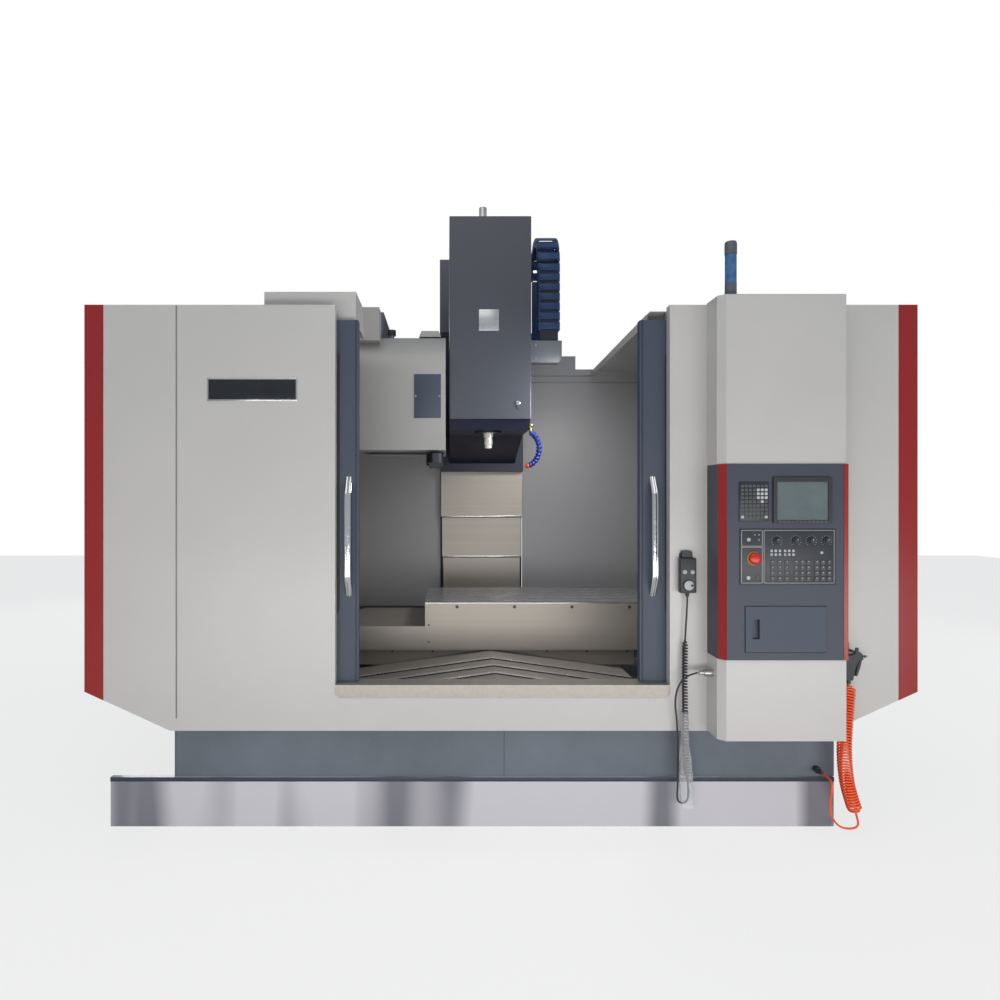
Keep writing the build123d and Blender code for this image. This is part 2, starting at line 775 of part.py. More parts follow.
# Roof plates: over both ends of the working space, rising to the rear
roof_back = wall_top - 20
roof_edges = {-1: (-800, -830), 1: (710, 818)}
rim_front = front_y + 110
housing_left = -1138
housing_right = -694
housing_front = front_y + 110
housing_low = 2402
housing_high = 2551
with BuildPart() as roof_plates:
    with BuildSketch(Plane.YZ.offset(-(half_width - sheet))):
        with BuildLine():
            Polyline(
                (front_y + panel_depth, roof_front),
                (rear_wall_y, roof_back),
                (rear_wall_y, roof_back + sheet),
                (front_y + panel_depth, roof_front + sheet),
                close=True,
            )
        make_face()
    extrude(amount=2 * (half_width - sheet))
    with BuildSketch(Plane.XY.offset(roof_front - 1)):
        with BuildLine():
            Polyline(
                (roof_edges[-1][0], front_y),
                (roof_edges[1][0], front_y),
                (roof_edges[1][1], rear_wall_y + 1),
                (roof_edges[-1][1], rear_wall_y + 1),
                close=True,
            )
        make_face()
    extrude(amount=roof_back - roof_front + 10, mode=Mode.SUBTRACT)
    # Folded-down rims along the inner edges
    for side in (-1, 1):
        with BuildSketch(Plane.XY.offset(roof_front - 40)):
            with BuildLine():
                Polyline(
                    (roof_edges[side][0] + side * 4, rim_front),
                    (roof_edges[side][0] + side * 7, rim_front),
                    (roof_edges[side][1] + side * 3, rear_wall_y),
                    (roof_edges[side][1], rear_wall_y),
                    close=True,
                )
            make_face()
        extrude(amount=roof_back - roof_front + 40)
    with BuildSketch(Plane.YZ.offset(-half_width)):
        with BuildLine():
            Polyline(
                (front_y + panel_depth, roof_front + sheet),
                (rear_wall_y, roof_back + sheet),
                (rear_wall_y, roof_back + 100),
                (front_y + panel_depth, roof_back + 100),
                close=True,
            )
        make_face()
    extrude(amount=2 * half_width, mode=Mode.SUBTRACT)
    with BuildSketch(Plane.YZ.offset(-half_width)):
        with BuildLine():
            Polyline(
                (front_y + panel_depth, roof_front - 40),
                (front_y + panel_depth, roof_front - 60),
                (rear_wall_y, roof_front - 60),
                (rear_wall_y, roof_back - 40),
                close=True,
            )
        make_face()
    extrude(amount=2 * half_width, mode=Mode.SUBTRACT)
    # Housing over the left end of the door track, its back sloping down
    with BuildSketch(Plane.YZ.offset(housing_left)):
        for inset in (0, sheet):
            with BuildLine():
                Polyline(
                    (housing_front + inset, housing_low - inset),
                    (housing_front + inset, housing_high - inset),
                    (housing_front + 240, housing_high - inset),
                    (housing_front + 358 - inset, housing_low - inset),
                    close=True,
                )
            make_face(mode=Mode.SUBTRACT if inset else Mode.ADD)
    extrude(amount=housing_right - housing_left)
    for x in (housing_left, housing_right - sheet):
        with BuildSketch(Plane.YZ.offset(x)):
            with BuildLine():
                Polyline(
                    (housing_front, housing_low),
                    (housing_front, housing_high),
                    (housing_front + 240, housing_high),
                    (housing_front + 358, housing_low),
                    close=True,
                )
            make_face()
        extrude(amount=sheet)
save("side_and_roof_panels", side_panel(-1), side_panel(1), roof_plates.part)

# Control pod: full-height housing with a chamfered left corner
pod_left = 964
pod_right = 1530
pod_bottom = 466
pod_top = 2464
pod_front = front_y - pod_depth
chamfer_run = 30
fascia_bottom = 829
fascia_top = 1704
fascia_front = pod_front - fascia_thickness
bin_left = 1085
bin_right = 1422
bin_bottom = 876
bin_top = 1059
bin_depth = 110
bin_door_x = 1253.5
bin_door_z = 967.5
bin_door_width = 357
bin_door_height = 203
with BuildPart() as pod_housing:
    with BuildSketch(Plane.XY.offset(pod_bottom)):
        with BuildLine():
            Polyline(
                (pod_left, front_y),
                (pod_left, pod_front + chamfer_run),
                (pod_left + chamfer_run, pod_front),
                (pod_right, pod_front),
                (pod_right, front_y),
                close=True,
            )
        make_face()
    extrude(amount=pod_top - pod_bottom)
    fillet(pod_housing.faces().sort_by(Axis.Z)[-1].edges(), 4)
    with BuildSketch(Plane.XY.offset(fascia_bottom)):
        with BuildLine():
            Polyline(
                (pod_left, front_y),
                (pod_left, pod_front),
                (pod_left + chamfer_run + fascia_thickness, pod_front),
                (pod_left + fascia_thickness, pod_front + chamfer_run),
                (pod_left + fascia_thickness, front_y),
                close=True,
            )
        make_face()
    extrude(amount=fascia_top - fascia_bottom, mode=Mode.SUBTRACT)
    with BuildSketch(Plane.XZ.offset(-pod_front)):
        with Locations(((bin_left + bin_right) / 2, (bin_bottom + bin_top) / 2)):
            RectangleRounded(bin_right - bin_left, bin_top - bin_bottom, 6)
    extrude(amount=-bin_depth, mode=Mode.SUBTRACT)
save("pod_housing", pod_housing.part)

# Control fascia: slate sheet set round the front and left of the pod
fascia_left = pod_left + 2
with BuildPart() as control_fascia:
    with BuildSketch(Plane.XY.offset(fascia_bottom)):
        with BuildLine():
            Polyline(
                (pod_left + fascia_thickness, front_y),
                (pod_left + fascia_thickness, pod_front + chamfer_run),
                (pod_left + chamfer_run + fascia_thickness, pod_front),
                (pod_right, pod_front),
                (pod_right + 4, pod_front),
                (pod_right + 4, fascia_front),
                (pod_left + chamfer_run, fascia_front),
                (fascia_left, pod_front + chamfer_run - 6),
                (fascia_left, front_y),
                close=True,
            )
        make_face()
    extrude(amount=fascia_top - fascia_bottom)
    with BuildSketch(Plane.XZ.offset(-pod_front)):
        with Locations(((bin_left + bin_right) / 2, (bin_bottom + bin_top) / 2)):
            RectangleRounded(bin_right - bin_left, bin_top - bin_bottom, 6)
    extrude(amount=fascia_thickness, mode=Mode.SUBTRACT)
    # Groove round the storage door
    with BuildSketch(Plane.XZ.offset(-fascia_front)):
        with Locations((bin_door_x, bin_door_z)):
            Rectangle(bin_door_width + 6, bin_door_height + 6)
            Rectangle(bin_door_width - 3, bin_door_height - 3, mode=Mode.SUBTRACT)
    extrude(amount=-4, mode=Mode.SUBTRACT)
save("control_fascia", control_fascia.part)

# Red trims: strips down both front corners and both edges of the fascia
with BuildPart() as red_trims:
    for side in (-1, 1):
        strip = 88
        low = panel_bottom + corner_rise
        with BuildSketch(Plane.XZ.offset(-front_y)):
            with BuildLine():
                Polyline(
                    (side * half_width, low),
                    (side * (half_width - strip), low - strip * corner_rise / corner_run),
                    (side * (half_width - strip), panel_top),
                    (side * half_width, panel_top),
                    close=True,
                )
            make_face()
        extrude(amount=2)
    with BuildSketch(Plane.XY.offset(fascia_bottom)):
        with Locations((pod_right - 6, fascia_front - 1)):
            Rectangle(20, 2)
        with BuildLine():
            Polyline(
                (pod_left + chamfer_run, fascia_front),
                (fascia_left, pod_front + chamfer_run - 6),
                (fascia_left - 1, pod_front + chamfer_run - 7.4),
                (pod_left + chamfer_run - 1, fascia_front - 1.4),
                close=True,
            )
        make_face()
    extrude(amount=fascia_top - fascia_bottom)
save("red_trims", red_trims.part)


def face_plate(left, right, low, high, depth, front=fascia_front, radius=4):
    """Rounded plate standing forward of a face."""
    with BuildSketch(Plane.XZ.offset(-front)) as sketch:
        with Locations(((left + right) / 2, (low + high) / 2)):
            RectangleRounded(right - left, high - low, radius)
    return extrude(sketch.sketch, amount=depth)


# Display bezel and screen
with BuildPart() as display_bezel:
    face_plate(1197, 1458, 1440, 1646, 10)
    with BuildSketch(Plane.XZ.offset(-fascia_front)):
        with Locations(((1214 + 1441) / 2, (1453 + 1624) / 2)):
            RectangleRounded(227, 171, 3)
    extrude(amount=10, mode=Mode.SUBTRACT)
with BuildPart() as display_screen:
    face_plate(1214, 1441, 1453, 1624, 5, radius=3)

# Data keypad: keys in rows on their carrier
with BuildPart() as mdi_keypad:
    face_plate(1047, 1178, 1449, 1624, 6)
    with BuildSketch(Plane.XZ.offset(-(fascia_front - 6))):
        with Locations(((1047 + 1178) / 2, (1449 + 1624) / 2)):
            with GridLocations(17.5, 19, 7, 8):
                RectangleRounded(13, 14, 2)
    extrude(amount=3)
save("display_unit", display_bezel.part, display_screen.part, mdi_keypad.part)

# Operator panel: keys, lamps and the ring of the emergency stop on one plate
panel_front = fascia_front - 5
with BuildPart() as operator_panel:
    face_plate(1050, 1475, 1167, 1415, 5)
    with BuildSketch(Plane.XZ.offset(-panel_front)):
        with Locations((1332, 1308)):
            with GridLocations(24, 0, 11, 1):
                RectangleRounded(17, 17, 2)
        with Locations((1300, 1235)):
            with GridLocations(24, 27, 8, 4):
                RectangleRounded(18, 18, 2)
        with Locations((1440, 1235)):
            with GridLocations(26, 27, 2, 4):
                RectangleRounded(18, 18, 2)
    extrude(amount=3)
    with BuildSketch(Plane.XZ.offset(-panel_front)):
        with Locations((1112, 1283)):
            Circle(33)
        with Locations((1112, 1283)):
            Circle(12.5, mode=Mode.SUBTRACT)
        with Locations((1087, 1197), (1127, 1197)):
            Circle(9)
    extrude(amount=3)
    with BuildSketch(Plane.XZ.offset(-fascia_front)):
        with Locations((1112, 1283)):
            Circle(12.5)
    extrude(amount=8, mode=Mode.SUBTRACT)
save("operator_panel", operator_panel.part)


def knob(x, z, radius, height, front, pointer=True):
    """Turned knob with a flat pointer rib, on an axis along Y."""
    base = front - seat_gap
    with BuildPart() as turned:
        with BuildSketch(Plane.XZ.offset(-base)):
            with Locations((x, z)):
                Circle(radius)
        extrude(amount=height * 0.4)
        with BuildSketch(Plane.XZ.offset(-(base - height * 0.4))):
            with Locations((x, z)):
                Circle(radius * 0.72)
        extrude(amount=height * 0.6, taper=6)
        if pointer:
            with BuildSketch(Plane.XZ.offset(-(base - height))):
                with Locations((x, z + radius * 0.3)):
                    Rectangle(2.4, radius * 0.7)
            extrude(amount=1)
    return turned.part


knob_places = {
    "mode_knob": 1214,
    "feed_override_knob": 1298,
    "spindle_override_knob": 1367,
    "rapid_override_knob": 1435,
}
for name, x in knob_places.items():
    save(name, knob(x, 1362, 17, 18, panel_front))

# Emergency stop: mushroom head on its stem
with BuildPart() as estop_button:
    with BuildSketch(Plane.XZ.offset(-(panel_front - 8))):
        with Locations((1112, 1283)):
            Circle(12)
    extrude(amount=-8)
    with BuildSketch(Plane.XZ.offset(-(panel_front - 8))):
        with Locations((1112, 1283)):
            Circle(28)
    extrude(amount=estop_height - 8 - 5)
    fillet(estop_button.faces().sort_by(Axis.Y)[0].edges(), 6)
save("estop_button", estop_button.part)

# Storage door over the tray in the pod
bin_door_front = fascia_front - seat_gap
bin_door_thickness = 5
cup = (1121, 968)
cup_depth = 16
hinge_x = bin_door_x + bin_door_width / 2
with BuildPart() as storage_door:
    face_plate(
        hinge_x - bin_door_width,
        hinge_x,
        bin_door_z - bin_door_height / 2,
        bin_door_z + bin_door_height / 2,
        bin_door_thickness,
        bin_door_front,
        2,
    )
    # Finger cup let through the door
    with BuildSketch(Plane.XZ.offset(-bin_door_front)):
        with Locations(cup):
            RectangleRounded(38, 94, 6)
    extrude(amount=-cup_depth)
    with BuildSketch(Plane.XZ.offset(-(bin_door_front + cup_depth - 2))):
        with Locations(cup):
            RectangleRounded(33, 88, 4)
    extrude(amount=cup_depth + bin_door_thickness, mode=Mode.SUBTRACT)
    # Hinge pin down its right edge
    with BuildSketch(Plane.XY.offset(bin_door_z - bin_door_height / 2)):
        with Locations((hinge_x, bin_door_front - bin_door_thickness / 2)):
            Circle(bin_door_thickness / 2)
    extrude(amount=bin_door_height)
save("storage_door", storage_door.part)

# Signal lamp on the pod: base, lens and cap
lamp_x = 1045
lamp_y = front_y - 75
with BuildPart() as signal_lamp:
    for low, high, radius in ((pod_top, 2532, 26), (2532, 2664, 26), (2664, 2724, 27)):
        with BuildSketch(Plane.XY.offset(low)):
            with Locations((lamp_x, lamp_y)):
                Circle(radius)
        extrude(amount=high - low - 1)
        with BuildSketch(Plane.XY.offset(high - 1)):
            with Locations((lamp_x, lamp_y)):
                Circle(radius - 2)
        extrude(amount=1)
save("signal_lamp", signal_lamp.part)

# Hand pendant and its holder on the front panel
pendant_x = 864
pendant_low = 1110
pendant_high = 1275
pendant_front = front_y - 42
with BuildPart() as pendant_holder:
    face_plate(pendant_x - 30, pendant_x + 30, 1190, 1296, 8, front_y, 6)
    face_plate(pendant_x - 24, pendant_x + 24, pendant_high, 1305, 24, front_y, 6)
with BuildPart() as hand_pendant:
    face_plate(pendant_x - 38, pendant_x + 38, pendant_low, pendant_high, 34, front_y - 8, 10)
    fillet(hand_pendant.faces().sort_by(Axis.Y)[0].edges(), 5)
    with BuildSketch(Plane.XY.offset(pendant_low - 16)):
        with Locations((pendant_x, front_y - 25)):
            Circle(9)
    extrude(amount=20)
pendant_knobs = [knob(pendant_x + x, 1210, 10, 12, pendant_front + seat_gap) for x in (-18, 18)]
save("hand_pendant", hand_pendant.part, *pendant_knobs)
with BuildPart() as pendant_wheel:
    with BuildSketch(Plane.XZ.offset(-(pendant_front - seat_gap))):
        with Locations((pendant_x, 1148)):
            Circle(27)
    extrude(amount=8)
    fillet(pendant_wheel.faces().sort_by(Axis.Y)[0].edges(), 2)
    with BuildSketch(Plane.XZ.offset(-(pendant_front - seat_gap - 8))):
        with Locations((pendant_x + 14, 1148)):
            Circle(5)
    extrude(amount=12)
save("pendant_wheel", pendant_wheel.part)

# Connector of the pendant cord, on the lower left of the pod
connector_x = 945
connector_y = front_y - 70
connector_z = 752
cord_y = front_y - 25
with BuildPart() as pendant_connector:
    with BuildSketch(Plane.YZ.offset(connector_x - 45)):
        with Locations((connector_y, connector_z)):
            Circle(10)
    extrude(amount=25)
    with BuildSketch(Plane.YZ.offset(connector_x - 20)):
        with Locations((connector_y, connector_z)):
            Circle(17)
    extrude(amount=pod_left - connector_x + 20)
    fillet(pendant_connector.faces().sort_by(Axis.X)[0].edges(), 3)
save("pendant_connector", pendant_connector.part)


def cord_tube(points, diameter):
    """Plain tube along straight runs joined by arcs as large as the runs allow."""
    corners = []
    for before, here, after in zip(points, points[1:], points[2:]):
        first = Vector(*here) - Vector(*before)
        second = Vector(*after) - Vector(*here)
        turn = first.get_angle(second)
        corners.append(0.45 * min(first.length, second.length) / tan(radians(turn) / 2))
    print("cord radii", [round(radius) for radius in corners])
    with BuildPart() as tube:
        with BuildLine() as path:
            FilletPolyline(*points, radius=corners)
        with BuildSketch(Plane(origin=path.line @ 0, z_dir=path.line % 0)):
            Circle(diameter / 2)
        sweep(path=path.line)
    print("cord length", round(sum(edge.length for edge in path.edges())))
    return tube.part


# Pendant cord: lead, curly stretch and the lead back up to its connector
cord_diameter = 8
curl_diameter = 28
curl_top = 895
curl_bottom = 250
lead_points = [
    (pendant_x, cord_y, pendant_low - 16),
    (pendant_x - 2, cord_y - 1, 1030),
    (pendant_x - 7, cord_y - 1, 965),
    (pendant_x - 10, cord_y, curl_top),
]
curl_points = [
    (pendant_x - 10, cord_y, curl_top),
    (pendant_x - 16, cord_y - 8, 740),
    (pendant_x - 14, cord_y - 10, 560),
    (pendant_x - 13, cord_y - 7, 390),
    (pendant_x - 2, cord_y - 2, curl_bottom),
]
return_points = [
    (pendant_x - 2, cord_y - 2, curl_bottom),
    (pendant_x + 6, cord_y - 1, 140),
    (pendant_x - 50, cord_y - 1, 134),
    (pendant_x - 45, cord_y, 220),
    (pendant_x - 42, cord_y - 1, 320),
    (pendant_x - 44, cord_y, 415),
    (pendant_x - 48, cord_y - 2, 510),
    (pendant_x - 63, cord_y - 12, 605),
    (pendant_x - 56, cord_y - 32, 685),
    (pendant_x - 18, connector_y - 2, 743),
    (connector_x - 45, connector_y, connector_z),
]
save("pendant_cord_lead", cord_tube(lead_points, cord_diameter))
save("pendant_cord_curl", cord_tube(curl_points, curl_diameter))
save("pendant_cord_return", cord_tube(return_points, cord_diameter))

# Blow gun on its hook beside the pod, with the pipe fitting of its hose
gun_x = 1612
gun_y = front_y - 60
gun_nozzle_z = 835
with BuildPart() as gun_hook:
    face_plate(gun_x - 16, gun_x + 16, 780, 880, 4, front_y, 5)
    with BuildSketch(Plane.XZ.offset(-(front_y - 4))):
        with Locations((gun_x, 848)):
            Rectangle(14, 6)
    extrude(amount=90)
    with BuildSketch(Plane.XY.offset(845)):
        with Locations((gun_x, front_y - 91)):
            Rectangle(14, 6)
    extrude(amount=26)
with BuildPart() as air_gun:
    with BuildSketch(Plane.XZ.offset(-(gun_y + 11))):
        with BuildLine():
            Polyline(
                (gun_x - 42, 822),
                (gun_x + 30, 844.7),
                (gun_x + 38, 836),
                (gun_x + 44, 812),
                (gun_x + 22, 806),
                (gun_x + 6, 770),
                (gun_x - 5, 716),
                (gun_x - 40, 716),
                (gun_x - 38, 770),
                close=True,
            )
        make_face()
    extrude(amount=22)
    fillet(air_gun.edges().filter_by(Axis.Y), 3)
    with BuildSketch(Plane(origin=(gun_x + 38, gun_y, 826), z_dir=(1, 0, -0.12))):
        Circle(5)
    extrude(amount=26)
    with BuildSketch(Plane.XY.offset(700)):
        with Locations((gun_x - 19, gun_y)):
            Circle(9)
    extrude(amount=16)
save("air_gun", air_gun.part)
with BuildPart() as gun_trigger:
    with BuildSketch(Plane.XZ.offset(-(gun_y + 6))):
        with BuildLine():
            Polyline(
                (gun_x + 30, 807.6),
                (gun_x + 40, 810.4),
                (gun_x + 30, 770),
                (gun_x + 18, 735),
                (gun_x + 10, 735),
                (gun_x + 18, 775),
                close=True,
            )
        make_face()
        with Locations((gun_x + 35, 805)):
            Circle(1.5, mode=Mode.SUBTRACT)
    extrude(amount=12)
save("gun_trigger", gun_trigger.part)

fitting_x = 1493
fitting_z = 270
with BuildPart() as hose_fitting:
    with BuildSketch(Plane.XZ.offset(-(front_y + 40))):
        with Locations((fitting_x, fitting_z)):
            RegularPolygon(16, 6)
    extrude(amount=30)
    with BuildSketch(Plane.XZ.offset(-(front_y + 10))):
        with Locations((fitting_x, fitting_z)):
            Circle(10)
    extrude(amount=30)
save("panel_brackets", pendant_holder.part, gun_hook.part, hose_fitting.part)

# Coiled air hose: the coil from the gun and the lead to its fitting
hose_diameter = 9
hose_coil_diameter = 66
coil_top = 700
coil_bottom = 104
coil_points = [
    (gun_x - 19, gun_y, coil_top),
    (gun_x - 32, gun_y - 1, 550),
    (gun_x - 42, gun_y - 1, 400),
    (gun_x - 32, gun_y - 1, 260),
    (gun_x - 8, gun_y, 170),
    (gun_x + 14, gun_y - 1, coil_bottom),
]
hose_points = [
    (gun_x + 14, gun_y - 1, coil_bottom),
    (gun_x + 32, gun_y, 34),
    (gun_x - 58, gun_y - 4, 34),
    (gun_x - 114, gun_y - 24, 98),
    (gun_x - 130, gun_y - 44, 170),
    (gun_x - 124, gun_y - 54, 235),
    (fitting_x, gun_y - 40, fitting_z + 5),
    (fitting_x, front_y - 20, fitting_z),
]
save("air_hose_coil", cord_tube(coil_points, hose_coil_diameter))
save("air_hose_lead", cord_tube(hose_points, hose_diameter))

# Tool magazine: cover, carrier arm, tool disc, drive box, quill and change arm
magazine_y = magazine_front + magazine_depth / 2
magazine_z = (magazine_bottom + magazine_top) / 2
arm_x = -arm_reach


def magazine_profile(inset):
    """Side outline of the magazine cover with its large front curve, inset all round."""
    front = magazine_front + inset
    back = magazine_front + magazine_depth - inset
    low = magazine_bottom + inset
    high = magazine_top - inset
    curve = 230 - inset
    with BuildSketch(Plane.YZ.offset(magazine_left + inset)) as outline:
        with BuildLine():
            Polyline(
                (front, high - curve), (front, low), (back, low), (back, high), (front + curve, high)
            )
            RadiusArc((front + curve, high), (front, high - curve), -curve)
        make_face()
    return outline.sketch


hump_x = -355
raised_top = 2639
with BuildPart() as magazine_cover:
    extrude(magazine_profile(0), amount=magazine_right - magazine_left, dir=(1, 0, 0))
    extrude(
        magazine_profile(sheet),
        amount=magazine_right - magazine_left - 2 * sheet,
        dir=(1, 0, 0),
        mode=Mode.SUBTRACT,
    )
    # Hole in the floor for the quill and the change position
    with BuildSketch(Plane.XY.offset(magazine_bottom)):
        with Locations(((arm_x + magazine_left + 60) / 2, spindle_y)):
            RectangleRounded(arm_x - magazine_left - 60 + 100, 200, 30)
    extrude(amount=sheet, mode=Mode.SUBTRACT)
    # Slot in the roof for the carrier
    with BuildSketch(Plane.XY.offset(magazine_top - 10)):
        with Locations((-675, magazine_y)):
            Rectangle(60, 210)
    extrude(amount=10, mode=Mode.SUBTRACT)
    with BuildSketch(Plane.XY.offset(magazine_top)):
        with Locations((hump_x, magazine_y)):
            Rectangle(130, 300)
    extrude(amount=38, taper=20)
    with BuildSketch(Plane.XY.offset(magazine_top)):
        with Locations((-590, magazine_y - 40)):
            Circle(14)
    extrude(amount=30)
    with BuildSketch(Plane.XY.offset(magazine_top + 30)):
        with Locations((-590, magazine_y - 40)):
            Circle(24)
    extrude(amount=34)
    # Raised box over the left end
    with BuildSketch(Plane.XY.offset(magazine_top - 60)):
        with Locations((magazine_left + 4, magazine_front)):
            Rectangle(127, 110, align=(Align.MIN, Align.MIN))
    extrude(amount=raised_top - magazine_top + 60)
    # Screwed inspection hatch on the front
    face_plate(-441, -288, 2007, 2257, 2, magazine_front, 4)
    with BuildSketch(Plane.XZ.offset(-(magazine_front - 2))):
        with Locations((-432, 2132), (-297, 2132)):
            Circle(5)
    extrude(amount=3)
save("magazine_cover", magazine_cover.part)

carrier_low = magazine_top + seat_gap
carrier_high = 2690
carrier_left = -768
carrier_right = -642
with BuildPart() as magazine_carrier:
    with BuildSketch(Plane.YZ.offset(carrier_left)):
        with BuildLine():
            Polyline(
                (magazine_front + 235, carrier_low),
                (magazine_front + 235, carrier_high - 60),
                (magazine_front + 295, carrier_high),
                (column_front + 220, carrier_high),
                (column_front + 220, carrier_low + 60),
                (magazine_front + magazine_depth, carrier_low),
                close=True,
            )
        make_face()
    extrude(amount=carrier_right - carrier_left)
    with BuildSketch(Plane.YZ.offset(carrier_right)):
        with Locations((column_front + 120, (carrier_low + 60 + carrier_high) / 2)):
            Rectangle(200, carrier_high - carrier_low - 60)
    extrude(amount=-column_width / 2 - carrier_right)
    with BuildSketch(Plane.YZ.offset(-700)):
        with Locations((magazine_y, (magazine_z - 80 + carrier_low) / 2)):
            Rectangle(200, carrier_low - magazine_z + 80)
    extrude(amount=50)
    with BuildSketch(Plane.YZ.offset(-650)):
        with Locations((magazine_y, magazine_z)):
            Circle(40)
    extrude(amount=170)

pot_radius = 33
pot_circle = 250
with BuildPart() as tool_magazine:
    with BuildSketch(Plane.YZ.offset(-560)):
        with Locations((magazine_y, magazine_z)):
            Circle(pot_circle + 10)
            Circle(40 + running_fit, mode=Mode.SUBTRACT)
            with PolarLocations(135, 6):
                Circle(45, mode=Mode.SUBTRACT)
    extrude(amount=24)
    with BuildSketch(Plane.YZ.offset(-600)):
        with Locations((magazine_y, magazine_z)):
            with PolarLocations(pot_circle, pot_count):
                Circle(pot_radius)
    extrude(amount=130)
    with BuildSketch(Plane.YZ.offset(-520)):
        with Locations((magazine_y, magazine_z)):
            with PolarLocations(pot_circle, pot_count):
                Circle(pot_radius - 9)
    extrude(amount=50, mode=Mode.SUBTRACT)
save("tool_magazine", tool_magazine.part)

quill_radius = 30
quill_bottom = 1803
quill_top = 2290
drive_low = 1900
drive_right = magazine_right - sheet - seat_gap
with BuildPart() as arm_drive:
    with BuildSketch(Plane.XY.offset(drive_low)):
        with Locations(((arm_x - 75 + drive_right) / 2, spindle_y)):
            Rectangle(drive_right - arm_x + 75, 220)
        with Locations((arm_x, spindle_y)):
            Circle(quill_radius + running_fit, mode=Mode.SUBTRACT)
    extrude(amount=2330 - drive_low)
save("changer_frame", magazine_carrier.part, arm_drive.part)
with BuildPart() as arm_quill:
    with BuildSketch(Plane.XY.offset(quill_bottom)):
        with Locations((arm_x, spindle_y)):
            Circle(quill_radius)
    extrude(amount=quill_top - quill_bottom)
save("arm_quill", arm_quill.part)

arm_low = 1750
arm_high = quill_bottom - seat_gap
with BuildPart() as tool_arm:
    with BuildSketch(Plane.XY.offset(arm_low)):
        with Locations((arm_x, spindle_y)):
            Rectangle(70, 2 * arm_reach - 40)
            Circle(58)
            for end in (-1, 1):
                with Locations((0, end * arm_reach)):
                    Circle(48)
                    Circle(30, mode=Mode.SUBTRACT)
                    with Locations((24, end * 6)):
                        Rectangle(60, 46, mode=Mode.SUBTRACT)
    extrude(amount=arm_high - arm_low)
save("tool_arm", tool_arm.part)

# Coolant hose of snap-together segments, its nozzle, and the valve it starts from
valve_x = 252
valve_y = spindle_y - 60
valve_z = 1948
with BuildPart() as coolant_valve:
    with BuildSketch(Plane.YZ.offset(head_half)):
        with Locations((valve_y, valve_z + 40)):
            Rectangle(26, 26)
    extrude(amount=28)
    with BuildSketch(Plane.XY.offset(valve_z)):
        with Locations((valve_x, valve_y)):
            Circle(10)
    extrude(amount=40)
with BuildPart() as valve_lever:
    with BuildSketch(Plane.YZ.offset(head_half + 28)):
        with Locations((valve_y, valve_z + 40)):
            Circle(6)
    extrude(amount=4)
    with BuildSketch(Plane.YZ.offset(head_half + 32)):
        with Locations((valve_y - 14, valve_z + 40)):
            Rectangle(44, 9)
    extrude(amount=3)

segment_count = 13
bend_wide = 82  # half axes of the arc that the hose follows
bend_high = 105
bend_start = 68.5
bend_x = valve_x - bend_wide * cos(radians(bend_start))
bend_z = valve_z - bend_high * sin(radians(bend_start))
with BuildPart() as coolant_hose:
    for i in range(segment_count):
        turn = radians(bend_start - i * 12.2)
        spot = (bend_x + bend_wide * cos(turn), bend_z + bend_high * sin(turn))
        ahead = turn - radians(8)
        aim = (
            bend_x + bend_wide * cos(ahead) - spot[0],
            0,
            bend_z + bend_high * sin(ahead) - spot[1],
        )
        with BuildSketch(Plane(origin=(spot[0], valve_y, spot[1]), z_dir=aim)):
            Circle(14)
        extrude(amount=9, taper=-12)
        with BuildSketch(Plane(origin=(spot[0], valve_y, spot[1]), z_dir=aim)):
            Circle(12)
        extrude(amount=21)
save("coolant_line", coolant_valve.part, valve_lever.part, coolant_hose.part)

# Cable chain beside the head: a strand on the head, the loop, a strand on the column
chain_left = 318
chain_right = 458
chain_thick = 60
chain_front = front_y + 1100
loop_radius = 190
chain_top = 3256
loop_z = chain_top - loop_radius - chain_thick / 2
loop_y = chain_front + chain_thick / 2 + loop_radius
chain_pitch = 62
bracket_low = 2402
bracket_high = 2541
strand_wall = 12
loop_travel = head_travel / 2
strand_gap = 0.8
chain_x = (chain_left + chain_right) / 2
chain_wide = chain_right - chain_left


inner_wide = chain_wide - 2 * strand_wall
inner_thick = chain_thick - 2 * strand_wall + 8
strand_wide = inner_wide - 2 * strand_gap
strand_thick = inner_thick - 2 * strand_gap


def hollow_strand(y, low, high):
    """Straight hollow length of the chain, which takes in a strand."""
    with BuildSketch(Plane.XY.offset(low)) as section:
        with Locations((chain_x, y)):
            Rectangle(chain_wide, chain_thick)
            Rectangle(inner_wide, inner_thick, mode=Mode.SUBTRACT)
    extrude(section.sketch, amount=high - low)


def strand(y, low, high):
    """Straight inner length of the chain."""
    with BuildSketch(Plane.XY.offset(low)) as section:
        with Locations((chain_x, y)):
            Rectangle(strand_wide, strand_thick)
    extrude(section.sketch, amount=high - low)


